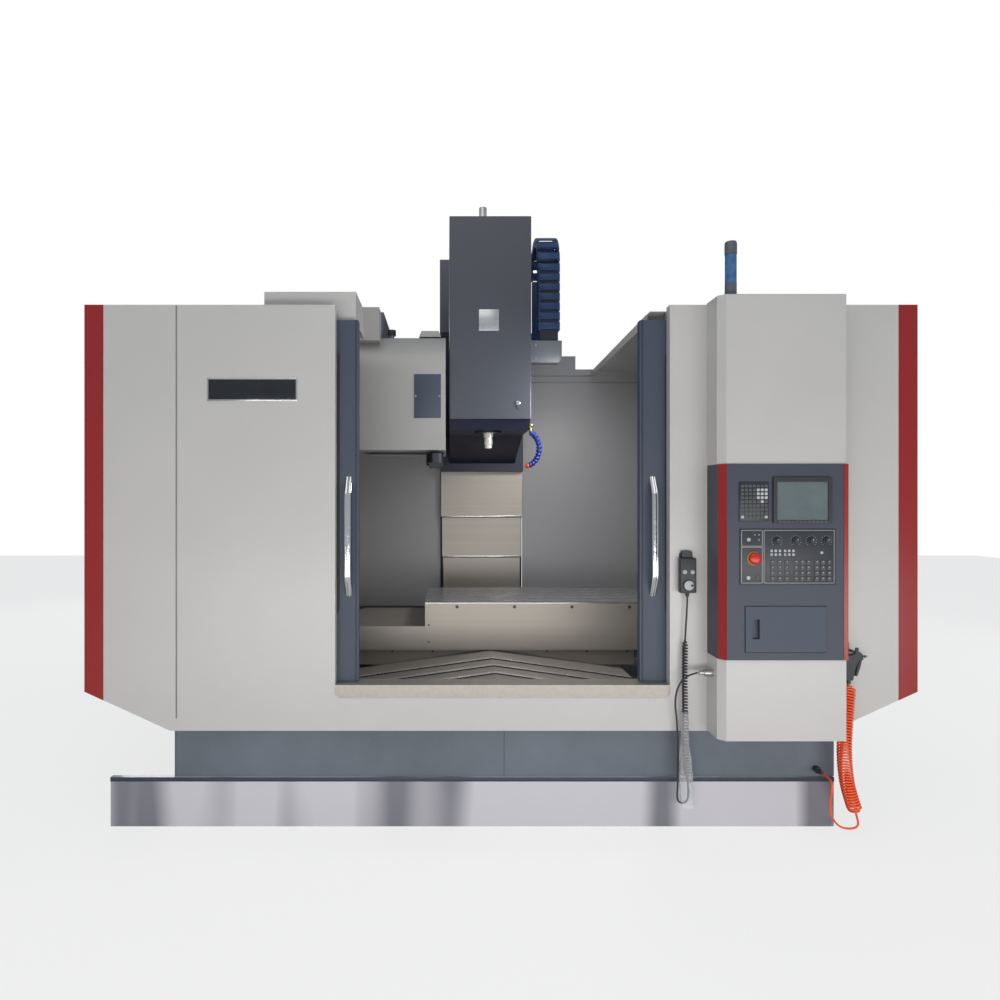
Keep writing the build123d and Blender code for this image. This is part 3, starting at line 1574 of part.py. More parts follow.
front_leg_bottom = bracket_high + 4
shelf_top = 2628
rear_leg_bottom = shelf_top + 14
arch_sides = 16
with BuildPart() as chain_loop:
    with BuildSketch(Plane.YZ.offset(chain_left)):
        with Locations((loop_y, loop_z)):
            for reach, mode in ((1, Mode.ADD), (-1, Mode.SUBTRACT)):
                RegularPolygon(
                    loop_radius + reach * chain_thick / 2,
                    arch_sides,
                    major_radius=False,
                    rotation=180 / arch_sides,
                    mode=mode,
                )
            with Locations((0, -400)):
                Rectangle(900, 800, mode=Mode.SUBTRACT)
    extrude(amount=chain_wide)
    hollow_strand(loop_y - loop_radius, front_leg_bottom, loop_z)
    strand(loop_y + loop_radius, rear_leg_bottom, loop_z)
    # Gaps between links on the outer faces
    leg_links = int((loop_z - front_leg_bottom) / chain_pitch)
    for i in range(1, leg_links + 1):
        with BuildSketch(Plane.XY.offset(loop_z - i * chain_pitch)):
            with Locations((chain_x, loop_y - loop_radius - chain_thick / 2)):
                Rectangle(chain_wide + 2, 8)
        extrude(amount=6, mode=Mode.SUBTRACT)
    for i in range(arch_sides // 2):
        angle = radians(360 * (i + 0.5) / arch_sides)
        reach = (loop_radius + chain_thick / 2) / cos(radians(180 / arch_sides))
        along = (0, sin(angle), cos(angle))
        spot = (chain_left - 1, loop_y - reach * cos(angle), loop_z + reach * sin(angle))
        with BuildSketch(Plane(origin=spot, x_dir=along, z_dir=(1, 0, 0))):
            Rectangle(6, 8)
        extrude(amount=chain_wide + 2, mode=Mode.SUBTRACT)
save("chain_loop", chain_loop.part)

with BuildPart() as chain_head_strand:
    strand(loop_y - loop_radius, bracket_low + 20, loop_z - 14)
with BuildPart() as chain_bracket:
    with BuildSketch(Plane.XZ.offset(-(chain_front - 12))):
        with BuildLine():
            Polyline(
                (cover_half_width, bracket_low),
                (chain_right - 12, bracket_low),
                (chain_right + 9, bracket_low + 22),
                (chain_right + 9, bracket_high),
                (cover_half_width, bracket_high),
                close=True,
            )
        make_face()
    extrude(amount=-(chain_thick + 24))
    with BuildSketch(Plane.XY.offset(bracket_low + 20)):
        with Locations((chain_x, loop_y - loop_radius)):
            Rectangle(strand_wide, strand_thick)
    extrude(amount=bracket_high, mode=Mode.SUBTRACT)
save("chain_head_end", chain_head_strand.part, chain_bracket.part)

# Fixed end of the chain: a sleeve on a shelf of the column, which the loop's rear leg slides in
shelf_front = loop_y + loop_radius - chain_thick / 2
shelf_back = column_front + 200
shelf_thick = 8
with BuildPart() as chain_sleeve:
    hollow_strand(loop_y + loop_radius, shelf_top, loop_z - loop_travel - 5)
with BuildPart() as chain_shelf:
    with BuildSketch(Plane.XY.offset(shelf_top - shelf_thick)):
        with Locations((chain_right + 20, (shelf_front + shelf_back) / 2)):
            Rectangle(
                chain_right + 20 - column_width / 2,
                shelf_back - shelf_front,
                align=(Align.MAX, Align.CENTER),
            )
        with Locations((chain_x, loop_y + loop_radius)):
            Rectangle(inner_wide, inner_thick, mode=Mode.SUBTRACT)
    extrude(amount=shelf_thick)
    with BuildSketch(Plane.YZ.offset(column_width / 2)):
        with BuildLine():
            Polyline(
                (column_front + 20, shelf_top - shelf_thick),
                (shelf_back, shelf_top - shelf_thick),
                (shelf_back, shelf_top - 260),
                (shelf_back - 40, shelf_top - 260),
                close=True,
            )
        make_face()
    extrude(amount=8)
save("chain_column_end", chain_sleeve.part, chain_shelf.part)

# Electrical cabinet behind the splash wall, on the bed, with its two doors
cabinet_left = -1480
cabinet_right = -560
cabinet_front = rear_wall_y + 140
cabinet_back = front_y + rear_reach
cabinet_top = 2350
cabinet_door = 24
cabinet_x = (cabinet_left + cabinet_right) / 2
cabinet_width = cabinet_right - cabinet_left
cabinet_height = cabinet_top - panel_bottom
cabinet_depth = cabinet_back - cabinet_door - cabinet_front
with BuildPart() as electrical_cabinet:
    with BuildSketch(Plane.XY.offset(panel_bottom)):
        with Locations((cabinet_x, cabinet_front + cabinet_depth / 2)):
            Rectangle(cabinet_width, cabinet_depth)
    extrude(amount=cabinet_height)
    with BuildSketch(Plane.XZ.offset(-cabinet_back)):
        with Locations((cabinet_x, panel_bottom + cabinet_height / 2)):
            with GridLocations(cabinet_width / 2, 0, 2, 1):
                RectangleRounded(cabinet_width / 2 - 16, cabinet_height - 24, 6)
    extrude(amount=cabinet_door)
    # Louvres low in each leaf and the latch handles at the meeting edge
    with BuildSketch(Plane.XZ.offset(-cabinet_back)):
        with Locations((cabinet_x, panel_bottom + 320)):
            with GridLocations(cabinet_width / 2, 44, 2, 7):
                RectangleRounded(260, 14, 6)
        with Locations((cabinet_x, panel_bottom + cabinet_height / 2)):
            with GridLocations(90, 0, 2, 1):
                RectangleRounded(28, 190, 8)
    extrude(amount=8, mode=Mode.SUBTRACT)
save("electrical_cabinet", electrical_cabinet.part)
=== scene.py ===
"""Looks of a vertical machining centre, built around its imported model.

The file follows the machine as it is put together: the place it stands in and
its view, the loose cords, the sheet casings, the head, the table and the control
pod. Lengths are metres in the machine's own frame: X to the operator's right,
Y away from the operator, Z up from the shop floor.
"""

from math import cos, pi, radians, sin, sqrt

import bmesh
import bpy
from mathutils import Matrix, Vector, noise


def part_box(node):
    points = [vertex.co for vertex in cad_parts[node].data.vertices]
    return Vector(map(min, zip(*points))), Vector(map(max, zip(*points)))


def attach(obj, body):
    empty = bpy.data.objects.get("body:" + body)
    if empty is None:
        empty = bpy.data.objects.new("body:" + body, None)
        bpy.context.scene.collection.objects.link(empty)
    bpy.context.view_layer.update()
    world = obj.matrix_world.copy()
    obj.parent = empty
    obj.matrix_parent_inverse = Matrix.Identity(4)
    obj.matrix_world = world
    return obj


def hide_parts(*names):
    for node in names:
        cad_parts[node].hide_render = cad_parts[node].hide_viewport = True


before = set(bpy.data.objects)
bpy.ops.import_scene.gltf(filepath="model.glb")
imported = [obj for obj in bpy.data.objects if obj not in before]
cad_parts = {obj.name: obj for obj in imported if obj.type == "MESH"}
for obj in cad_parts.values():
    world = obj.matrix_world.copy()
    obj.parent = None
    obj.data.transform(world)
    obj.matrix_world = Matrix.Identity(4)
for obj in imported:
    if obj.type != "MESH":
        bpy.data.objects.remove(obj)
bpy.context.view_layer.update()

# The view: a standing visitor looks level at the machine from a little left of its
# spindle. The view's shift keeps the machine's uprights upright.
front = -1.256  # front face of the front panel
camera_data = bpy.data.cameras.new("visitor")
camera = bpy.data.objects.new("visitor", camera_data)
bpy.context.scene.collection.objects.link(camera)
bpy.context.scene.camera = camera
camera.location = (-0.248, front - 3.2, 1.552)
camera.rotation_euler = (radians(90), 0, 0)
camera_data.sensor_width = 36
camera_data.lens = 24.6
camera_data.shift_x = 0.052
camera_data.shift_y = -0.002
camera_data.clip_end = 100
bpy.context.scene.view_settings.view_transform = "Standard"


# Shop daylight: an even pale hall, with large soft lamps for its roof lights and
# windows and for the work light inside the enclosure.
def add_node(tree, kind, **settings):
    """A shader node of one kind with its settings made."""
    node = tree.nodes.new(kind)
    for name, value in settings.items():
        setattr(node, name, value)
    return node


def fill(node, **values):
    """Set a node's inputs, whose names have spaces for the underscores."""
    for name, value in values.items():
        node.inputs[name.replace("_", " ")].default_value = value
    return node


def shop_daylight():
    """World light: even and pale, and white where it is looked at, also through glass."""
    world = bpy.data.worlds.new("shop_daylight")
    bpy.context.scene.world = world
    world.use_nodes = True
    tree = world.node_tree
    tree.nodes.clear()
    rays = add_node(tree, "ShaderNodeLightPath")
    looked_at = add_node(tree, "ShaderNodeMath", operation="MAXIMUM")
    tree.links.new(rays.outputs["Is Camera Ray"], looked_at.inputs[0])
    tree.links.new(rays.outputs["Is Transmission Ray"], looked_at.inputs[1])
    room = fill(add_node(tree, "ShaderNodeBackground"), Color=(0.86, 0.92, 1.0, 1), Strength=0.42)
    seen = fill(add_node(tree, "ShaderNodeBackground"), Color=(1, 1, 1, 1), Strength=1.0)
    mix = add_node(tree, "ShaderNodeMixShader")
    output = add_node(tree, "ShaderNodeOutputWorld")
    tree.links.new(looked_at.outputs[0], mix.inputs[0])
    tree.links.new(room.outputs[0], mix.inputs[1])
    tree.links.new(seen.outputs[0], mix.inputs[2])
    tree.links.new(mix.outputs[0], output.inputs["Surface"])


shop_daylight()


def softbox(name, place, aim, size, power, colour=(1, 1, 1)):
    """Large soft lamp at a place, turned to what it lights."""
    lamp = bpy.data.lights.new(name, "AREA")
    lamp.shape = "RECTANGLE"
    lamp.size, lamp.size_y = size
    lamp.energy = power
    lamp.color = colour
    holder = bpy.data.objects.new(name, lamp)
    bpy.context.scene.collection.objects.link(holder)
    holder.location = place
    holder.rotation_euler = (Vector(aim) - Vector(place)).to_track_quat("-Z", "Y").to_euler()


softbox("ceiling_lamps", (-1.5, -4.5, 6.5), (0, 0, 1.2), (6, 4), 70, (1, 0.97, 0.93))
softbox("front_window", (0.5, -5.0, 0.48), (0, -1.2, 0.25), (6.5, 0.8), 100, (1, 0.98, 0.95))
softbox("side_window", (7.0, 1.0, 2.6), (1.9, 0.2, 1.2), (3, 3), 45, (1, 0.99, 0.98))
softbox("rear_window", (-3.5, 7.0, 3.2), (0, 1.3, 1.2), (4, 3), 90, (1, 0.99, 0.98))
softbox("work_lamp", (0.72, front + 0.5, 2.15), (-0.3, front + 1.3, 0.8), (0.5, 0.3), 13, (1, 0.99, 0.97))


# Shop floor: smooth pale screed that looks as bright as the hall and keeps the
# machine's shadow.
shape = bmesh.new()
floor_corners = ((-14, -12, 0), (14, -12, 0), (14, 14, 0), (-14, 14, 0))
shape.faces.new([shape.verts.new(corner) for corner in floor_corners])
floor_mesh = bpy.data.meshes.new("shop_floor")
shape.to_mesh(floor_mesh)
shape.free()
floor = bpy.data.objects.new("shop_floor", floor_mesh)
bpy.context.scene.collection.objects.link(floor)
floor_paint = bpy.data.materials.new("floor_paint")
floor_paint.use_nodes = True
tree = floor_paint.node_tree
tree.nodes.clear()
rays = add_node(tree, "ShaderNodeLightPath")
matt = fill(add_node(tree, "ShaderNodeBsdfDiffuse"), Color=(0.80, 0.80, 0.79, 1))
bright = fill(add_node(tree, "ShaderNodeEmission"), Strength=1.0)
share = add_node(tree, "ShaderNodeMath", operation="MULTIPLY")
share.inputs[1].default_value = 0.72
tree.links.new(rays.outputs["Is Camera Ray"], share.inputs[0])
mix = add_node(tree, "ShaderNodeMixShader")
tree.links.new(share.outputs[0], mix.inputs[0])
tree.links.new(matt.outputs[0], mix.inputs[1])
tree.links.new(bright.outputs[0], mix.inputs[2])
output = add_node(tree, "ShaderNodeOutputMaterial")
tree.links.new(mix.outputs[0], output.inputs["Surface"])
floor.data.materials.append(floor_paint)

# Pendant cord: one black rubber lead from the hand pendant, wound into a tight
# curly stretch, then a plain loop back up to its connector on the pod.
pendant_x = 0.864
cord_y = front - 0.025
connector_y = front - 0.070
pendant_lead = [
    (pendant_x, cord_y, 1.094),
    (pendant_x - 0.002, cord_y - 0.001, 1.030),
    (pendant_x - 0.007, cord_y - 0.001, 0.965),
    (pendant_x - 0.010, cord_y, 0.895),
]
pendant_curl = [
    (pendant_x - 0.010, cord_y, 0.895),
    (pendant_x - 0.016, cord_y - 0.008, 0.740),
    (pendant_x - 0.014, cord_y - 0.010, 0.560),
    (pendant_x - 0.013, cord_y - 0.007, 0.390),
    (pendant_x - 0.002, cord_y - 0.002, 0.250),
]
pendant_return = [
    (pendant_x - 0.002, cord_y - 0.002, 0.250),
    (pendant_x + 0.006, cord_y - 0.001, 0.140),
    (pendant_x - 0.050, cord_y - 0.001, 0.134),
    (pendant_x - 0.045, cord_y, 0.220),
    (pendant_x - 0.042, cord_y - 0.001, 0.320),
    (pendant_x - 0.044, cord_y, 0.415),
    (pendant_x - 0.048, cord_y - 0.002, 0.510),
    (pendant_x - 0.063, cord_y - 0.012, 0.605),
    (pendant_x - 0.056, cord_y - 0.032, 0.685),
    (pendant_x - 0.018, connector_y - 0.002, 0.743),
    (0.900, connector_y, 0.752),
]


def smooth_cord(name, points, diameter=0):
    """Cord as one smooth spline whose control points are the route's."""
    line = bpy.data.curves.new(name, "CURVE")
    line.dimensions = "3D"
    spline = line.splines.new("NURBS")
    spline.points.add(len(points) - 1)
    for control, place in zip(spline.points, points):
        control.co = (*place, 1)
    spline.order_u = 3
    spline.use_endpoint_u = True
    line.bevel_depth = diameter / 2
    line.bevel_resolution = 3
    line.use_fill_caps = True
    piece = bpy.data.objects.new(name, line)
    bpy.context.scene.collection.objects.link(piece)
    return piece


def read_line(points):
    """Places along the smooth line of a route, close together."""
    guide = smooth_cord("guide", points)
    guide.data.resolution_u = 40
    bpy.context.view_layer.update()
    mesh = bpy.data.meshes.new_from_object(guide)
    places = [vertex.co.copy() for vertex in mesh.vertices]
    bpy.data.meshes.remove(mesh)
    bpy.data.curves.remove(guide.data)
    return places


def wound(points, radius, turns, per_turn=14):
    """Helix of so many turns along a route, opening and closing over one turn."""
    places = read_line(points)
    steps = [0.0]
    for before, after in zip(places, places[1:]):
        steps.append(steps[-1] + (after - before).length)
    helix = []
    count = turns * per_turn
    spot = 0
    for i in range(count + 1):
        along = steps[-1] * i / count
        while spot < len(steps) - 2 and steps[spot + 1] < along:
            spot += 1
        ahead = places[spot + 1] - places[spot]
        share = (along - steps[spot]) / max(ahead.length, 1e-9)
        centre = places[spot] + ahead * share
        side = ahead.cross(Vector((0, 1, 0))).normalized()
        depth = side.cross(ahead).normalized()
        open_share = min(1, (i + 1) / per_turn / 2, (count - i + 1) / per_turn / 2)
        reach = radius * open_share * open_share * (3 - 2 * open_share)
        turn = 2 * pi * i / per_turn
        helix.append(centre + side * (reach * cos(turn)) + depth * (reach * sin(turn)))
    return helix


# Surface upkeep, shared by every finish: how a face that is handled, wiped and
# dusted in a workshop varies. Clouds are wide tone changes, specks are fine grit.
def group_tree(name, inputs, outputs):
    """Empty shader node group with its sockets, and its two end nodes."""
    tree = bpy.data.node_groups.new(name, "ShaderNodeTree")
    for label, kind, value in inputs:
        socket = tree.interface.new_socket(label, in_out="INPUT", socket_type=kind)
        socket.default_value = value
    for label, kind in outputs:
        tree.interface.new_socket(label, in_out="OUTPUT", socket_type=kind)
    return tree, add_node(tree, "NodeGroupInput"), add_node(tree, "NodeGroupOutput")


def handled_surface_group():
    """Masks of the clouds and the specks on a handled face."""
    tree, given, result = group_tree(
        "handled_surface",
        [("Cloud Size", "NodeSocketFloat", 1.0), ("Speck Size", "NodeSocketFloat", 400.0)],
        [("Clouds", "NodeSocketFloat"), ("Specks", "NodeSocketFloat")],
    )
    place = add_node(tree, "ShaderNodeTexCoord")
    clouds = fill(add_node(tree, "ShaderNodeTexNoise"), Detail=5, Roughness=0.55)
    specks = fill(add_node(tree, "ShaderNodeTexNoise"), Detail=2)
    tree.links.new(place.outputs["Object"], clouds.inputs["Vector"])
    tree.links.new(place.outputs["Object"], specks.inputs["Vector"])
    tree.links.new(given.outputs["Cloud Size"], clouds.inputs["Scale"])
    tree.links.new(given.outputs["Speck Size"], specks.inputs["Scale"])
    tree.links.new(clouds.outputs["Fac"], result.inputs["Clouds"])
    tree.links.new(specks.outputs["Fac"], result.inputs["Specks"])
    return tree


handled_surface = handled_surface_group()


def use_group(tree, group, **values):
    """Place a shared effect in a material, with this material's own values."""
    return fill(add_node(tree, "ShaderNodeGroup", node_tree=group), **values)


def tone_ramp(tree, mask, low, high, start=0.2, end=0.8):
    """Colour between two tones where a mask runs from start to end."""
    ramp = add_node(tree, "ShaderNodeValToRGB")
    ramp.color_ramp.elements[0].position = start
    ramp.color_ramp.elements[0].color = (*low, 1)
    ramp.color_ramp.elements[1].position = end
    ramp.color_ramp.elements[1].color = (*high, 1)
    tree.links.new(mask, ramp.inputs["Fac"])
    return ramp.outputs["Color"]


def between(tree, mask, low, high):
    """Number that follows a mask from low to high."""
    span = add_node(tree, "ShaderNodeMapRange")
    fill(span, From_Min=0.2, From_Max=0.8, To_Min=low, To_Max=high)
    tree.links.new(mask, span.inputs["Value"])
    return span.outputs["Result"]


def new_finish(name):
    """Empty material with its shader, ready for its own nodes."""
    finish = bpy.data.materials.new(name)
    finish.use_nodes = True
    tree = finish.node_tree
    return finish, tree, tree.nodes["Principled BSDF"]


def relief(tree, shader, height, strength, depth):
    """Bump from a height mask."""
    bump = fill(add_node(tree, "ShaderNodeBump"), Strength=strength, Distance=depth)
    tree.links.new(height, bump.inputs["Height"])
    tree.links.new(bump.outputs["Normal"], shader.inputs["Normal"])


def varied(tree, shader, tones, colour, spread, grain, roughs):
    """Base colour that follows one mask and roughness that follows another."""
    dark = [tone * (1 - spread) for tone in colour]
    pale = [min(1, tone * (1 + spread)) for tone in colour]
    tree.links.new(tone_ramp(tree, tones, dark, pale), shader.inputs["Base Color"])
    tree.links.new(between(tree, grain, *roughs), shader.inputs["Roughness"])


def moulded_plastic(name, colour, rough=0.45, speck_size=900, depth=0.0003):
    """Injection moulded plastic with a fine spark-eroded grain."""
    finish, tree, shader = new_finish(name)
    wear = use_group(tree, handled_surface, Cloud_Size=14, Speck_Size=speck_size)
    clouds = wear.outputs["Clouds"]
    varied(tree, shader, clouds, colour, 0.14, clouds, (rough - 0.05, rough + 0.07))
    relief(tree, shader, wear.outputs["Specks"], 0.15, depth)
    return finish


pendant_cord = smooth_cord(
    "pendant_cord",
    pendant_lead[:-1] + wound(pendant_curl, 0.0100, 47) + pendant_return[1:],
    0.008,
)
pendant_cord.data.materials.append(moulded_plastic("cord_rubber", (0.022, 0.024, 0.03), 0.5))
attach(pendant_cord, "frame")
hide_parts("pendant_cord_lead", "pendant_cord_curl", "pendant_cord_return")


# Cord sleeve: a clear film tube drawn over the lower half of the curl, crinkled and
# a little wider towards its open end.
def bridged(shape, loops, paint=0, capped=False):
    """Skin stretched over a row of closed loops of points, its ends open or capped."""
    before = set(shape.faces)
    rings = []
    for loop in loops:
        corners = [shape.verts.new(point) for point in loop]
        rings.append([shape.edges.new(pair) for pair in zip(corners, corners[1:] + corners[:1])])
    for one, other in zip(rings, rings[1:]):
        bmesh.ops.bridge_loops(shape, edges=one + other)
    if capped:
        bmesh.ops.holes_fill(shape, edges=rings[0] + rings[-1], sides=len(loops[0]))
    made = list(set(shape.faces) - before)
    for face in made:
        face.material_index = paint
    return made


def finished(shape, name, paints, body, slot, *replaced):
    """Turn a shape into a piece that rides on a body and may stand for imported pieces."""
    bmesh.ops.remove_doubles(shape, verts=shape.verts, dist=1e-6)
    bmesh.ops.recalc_face_normals(shape, faces=shape.faces)
    mesh = bpy.data.meshes.new(name)
    shape.to_mesh(mesh)
    shape.free()
    for paint in paints:
        mesh.materials.append(paint)
    mesh.polygons.foreach_set("use_smooth", [True] * len(mesh.polygons))
    mesh.set_sharp_from_angle(angle=radians(32))
    piece = bpy.data.objects.new(name, mesh)
    bpy.context.scene.collection.objects.link(piece)
    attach(piece, body)
    if replaced:
        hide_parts(*replaced)
    return piece


sleeve_top, sleeve_step, sleeve_rings = 0.560, 0.0073, 61
sleeve_round, sleeve_corners = 0.0165, 40
flare_rings = 34  # rings over which the film opens to its full width
film = []
for i in range(sleeve_rings):
    z = sleeve_top - i * sleeve_step
    grown = min(1, i / flare_rings)
    middle_x = pendant_x - 0.014 + 0.012 * max(0, (0.390 - z) / 0.27)
    wide = sleeve_round + 0.0145 * grown * grown
    deep = sleeve_round + 0.0045 * grown
    corners = []
    for j in range(sleeve_corners):
        turn = 2 * pi * j / sleeve_corners
        crease = noise.noise(Vector((cos(turn) * 1.7, sin(turn) * 1.7, z * 26))) * 0.0055
        crease += noise.noise(Vector((cos(turn) * 4, sin(turn) * 4, z * 90))) * 0.0022
        share = (0.3 + 0.7 * grown) * crease
        x = middle_x + (wide + share) * cos(turn)
        corners.append((x, cord_y - 0.006 + (deep + 0.7 * share) * sin(turn), z))
    film.append(corners)
shape = bmesh.new()
bridged(shape, film)
clear_film, tree, shader = new_finish("clear_film")
wear = use_group(tree, handled_surface, Cloud_Size=60, Speck_Size=300)
tree.links.new(between(tree, wear.outputs["Clouds"], 0.08, 0.24), shader.inputs["Roughness"])
fill(shader, Base_Color=(0.93, 0.95, 0.96, 1), Transmission_Weight=0.78, IOR=1.2)
fill(shader, Coat_Weight=1, Coat_Roughness=0.04)
sleeve = finished(shape, "cord_sleeve", [clear_film], "frame", "cord")

# Air hose: orange polyurethane hose set in a long coil under the blow gun, whose
# plain tail hooks round just above the floor and up into the pipe fitting.
gun_x = 1.612
gun_y = front - 0.060
hose_coil = [
    (gun_x - 0.019, gun_y, 0.700),
    (gun_x - 0.032, gun_y - 0.001, 0.550),
    (gun_x - 0.042, gun_y - 0.001, 0.400),
    (gun_x - 0.032, gun_y - 0.001, 0.260),
    (gun_x - 0.008, gun_y, 0.170),
    (gun_x + 0.014, gun_y - 0.001, 0.104),
]
hose_tail = [
    (gun_x + 0.014, gun_y - 0.001, 0.104),
    (gun_x + 0.032, gun_y, 0.034),
    (gun_x - 0.058, gun_y - 0.004, 0.034),
    (gun_x - 0.114, gun_y - 0.024, 0.098),
    (gun_x - 0.130, gun_y - 0.044, 0.170),
    (gun_x - 0.124, gun_y - 0.054, 0.235),
    (1.493, gun_y - 0.040, 0.275),
    (1.493, front - 0.020, 0.270),
]


def linear(red, green, blue):
    """Scene colour from the 0 to 255 numbers of a swatch."""
    tones = []
    for tone in (red, green, blue):
        part = tone / 255
        tones.append(part / 12.92 if part <= 0.04045 else ((part + 0.055) / 1.055) ** 2.4)
    return tuple(tones)


air_hose = smooth_cord("air_hose", wound(hose_coil, 0.0282, 46) + hose_tail[1:], 0.009)
air_hose.data.materials.append(
    moulded_plastic("hose_polyurethane", linear(252, 92, 40), 0.28, 500, 0.0001)
)
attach(air_hose, "frame")
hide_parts("air_hose_coil", "air_hose_lead")


# Sheet casings: folded steel sheet, powder coated pale grey outside, with slate
# doors and cabinet, and red strips down the corners.
def powder_coat(name, colour, rough=0.42, coat=0.1):
    """Baked powder paint on sheet steel: faint orange peel, slow tone clouds."""
    finish, tree, shader = new_finish(name)
    wear = use_group(tree, handled_surface, Cloud_Size=0.9, Speck_Size=420)
    clouds = wear.outputs["Clouds"]
    varied(tree, shader, clouds, colour, 0.06, clouds, (rough + 0.04, rough - 0.04))
    relief(tree, shader, wear.outputs["Specks"], 0.08, 0.0006)
    fill(shader, Coat_Weight=coat, Coat_Roughness=0.3)
    return finish


def wear_finish(finish, *nodes):
    """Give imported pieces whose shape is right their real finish."""
    for node in nodes:
        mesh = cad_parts[node].data
        mesh.materials.clear()
        mesh.materials.append(finish)


pale_coat = powder_coat("pale_coat", linear(192, 190, 188), 0.36)
slate_coat = powder_coat("slate_coat", linear(64, 73, 89), 0.55, coat=0)
cover_coat = powder_coat("cover_coat", linear(74, 77, 86), 0.3)
red_coat = powder_coat("red_coat", linear(146, 28, 28), 0.3)
wear_finish(pale_coat, "front_panel", "side_and_roof_panels", "pod_housing")
wear_finish(powder_coat("wall_coat", linear(146, 146, 149), 0.5), "splash_walls")
wear_finish(powder_coat("changer_coat", linear(166, 165, 163), 0.4), "magazine_cover")
wear_finish(slate_coat, "storage_door", "electrical_cabinet")
wear_finish(powder_coat("fascia_coat", linear(60, 65, 79), 0.5, coat=0), "control_fascia")
wear_finish(cover_coat, "head_cover")
wear_finish(red_coat, "red_trims")


# Panel dress: the folded seam at the left of the front panel, and a plain dark gloss
# plate in a bright steel frame, glued to the sheet.
def soften(shape, faces, round_to, steps=2):
    """Round every edge of some faces."""
    edges = list({edge for face in faces for edge in face.edges})
    bmesh.ops.bevel(
        shape, geom=edges, offset=round_to, segments=steps, profile=0.5, affect="EDGES", material=-1
    )


def block(shape, low, high, paint=0, round_to=0.0, steps=2):
    """Block between two corners, its edges rounded where a radius is given."""
    corners = bmesh.ops.create_cube(shape, size=1)["verts"]
    low, high = Vector(low), Vector(high)
    bmesh.ops.scale(shape, vec=high - low, verts=corners)
    bmesh.ops.translate(shape, vec=(low + high) / 2, verts=corners)
    faces = {face for corner in corners for face in corner.link_faces}
    for face in faces:
        face.material_index = paint
    if round_to:
        soften(shape, faces, round_to, steps)


# Brushing, shared by the stainless and ground parts: fine lines drawn out along
# one direction, with a slower banding where the belt or grinding wheel passed.
def brushed_lines_group():
    """Masks of the fine lines and the slow bands on a brushed face."""
    tree, given, result = group_tree(
        "brushed_lines",
        [("Stretch", "NodeSocketVector", (4, 400, 400))],
        [("Lines", "NodeSocketFloat"), ("Bands", "NodeSocketFloat")],
    )
    place = add_node(tree, "ShaderNodeTexCoord")
    drawn = add_node(tree, "ShaderNodeVectorMath", operation="MULTIPLY")
    slow = fill(add_node(tree, "ShaderNodeVectorMath", operation="SCALE"), Scale=0.06)
    lines = fill(add_node(tree, "ShaderNodeTexNoise"), Scale=1, Detail=3)
    bands = fill(add_node(tree, "ShaderNodeTexNoise"), Scale=1, Detail=2)
    tree.links.new(place.outputs["Object"], drawn.inputs[0])
    tree.links.new(given.outputs["Stretch"], drawn.inputs[1])
    tree.links.new(drawn.outputs[0], lines.inputs["Vector"])
    tree.links.new(drawn.outputs[0], slow.inputs[0])
    tree.links.new(slow.outputs[0], bands.inputs["Vector"])
    tree.links.new(lines.outputs["Fac"], result.inputs["Lines"])
    tree.links.new(bands.outputs["Fac"], result.inputs["Bands"])
    return tree


brushed_lines = brushed_lines_group()


def brushed_metal(name, colour, stretch, rough=0.32, spread=0.12, metallic=1.0):
    """Stainless or ground steel with its lines along one direction."""
    finish, tree, shader = new_finish(name)
    grain = use_group(tree, brushed_lines, Stretch=stretch)
    lines = grain.outputs["Lines"]
    varied(tree, shader, grain.outputs["Bands"], colour, spread, lines, (rough - 0.07, rough + 0.09))
    relief(tree, shader, lines, 0.12, 0.0003)
    fill(shader, Metallic=metallic)
    return finish


black_gloss = moulded_plastic("black_gloss", (0.014, 0.016, 0.02), 0.18, 300, 0.0001)
polished = brushed_metal("polished_steel", (0.72, 0.72, 0.71), (60, 60, 60), 0.14, 0.05)
shape = bmesh.new()
block(shape, (-1.376, front - 0.004, 2.006), (-0.953, front, 2.114), 0, 0.0012)
block(shape, (-1.369, front - 0.0046, 2.013), (-0.960, front - 0.003, 2.107), 1, 0.0006)
finished(shape, "nameplate", [polished, black_gloss], "frame", "stainless")
shape = bmesh.new()
block(shape, (-1.5235, front - 0.0012, 0.520), (-1.5165, front, 2.455), 0, 0.0005)
finished(shape, "panel_seam", [powder_coat("seam_coat", linear(128, 126, 124))], "frame", "pale_paint")

# Sliding doors: folded slate leaf round a laminated window in its rubber seal, with a
# grooved chrome pull whose slanted ends stand on the leading frame.
door_near = front + 0.055
door_far = door_near + 0.040
door_low, door_high = 0.6775, 2.400
chrome = brushed_metal("chrome", (0.78, 0.79, 0.8), (90, 90, 90), 0.09, 0.04)
rubber = moulded_plastic("window_rubber", (0.02, 0.021, 0.024), 0.6, 700)
pane_glass, tree, shader = new_finish("pane_glass")
wear = use_group(tree, handled_surface, Cloud_Size=4, Speck_Size=260)
tree.links.new(between(tree, wear.outputs["Clouds"], 0.03, 0.09), shader.inputs["Roughness"])
fill(shader, Base_Color=(0.80, 0.88, 0.86, 1), Transmission_Weight=0.92, IOR=1.45)
window_low, window_high = 1.000, 2.250
seal_lap, seal_lip, seal_proud = 0.006, 0.012, 0.003  # over the leaf, over the glass, and out
pane_gap, pane_near, pane_thick = 0.004, door_near + 0.014, 0.010
channel_in, channel_half = 0.012, 0.002  # rubber strip down the leading edge
handle_low, handle_high, handle_stand = 1.084, 1.655, 0.050
grip_half, grip_thick = 0.0155, 0.0062
grip_steps, grip_corners = 48, 36
slant_rise = 0.085  # height over which an end comes out to the grip


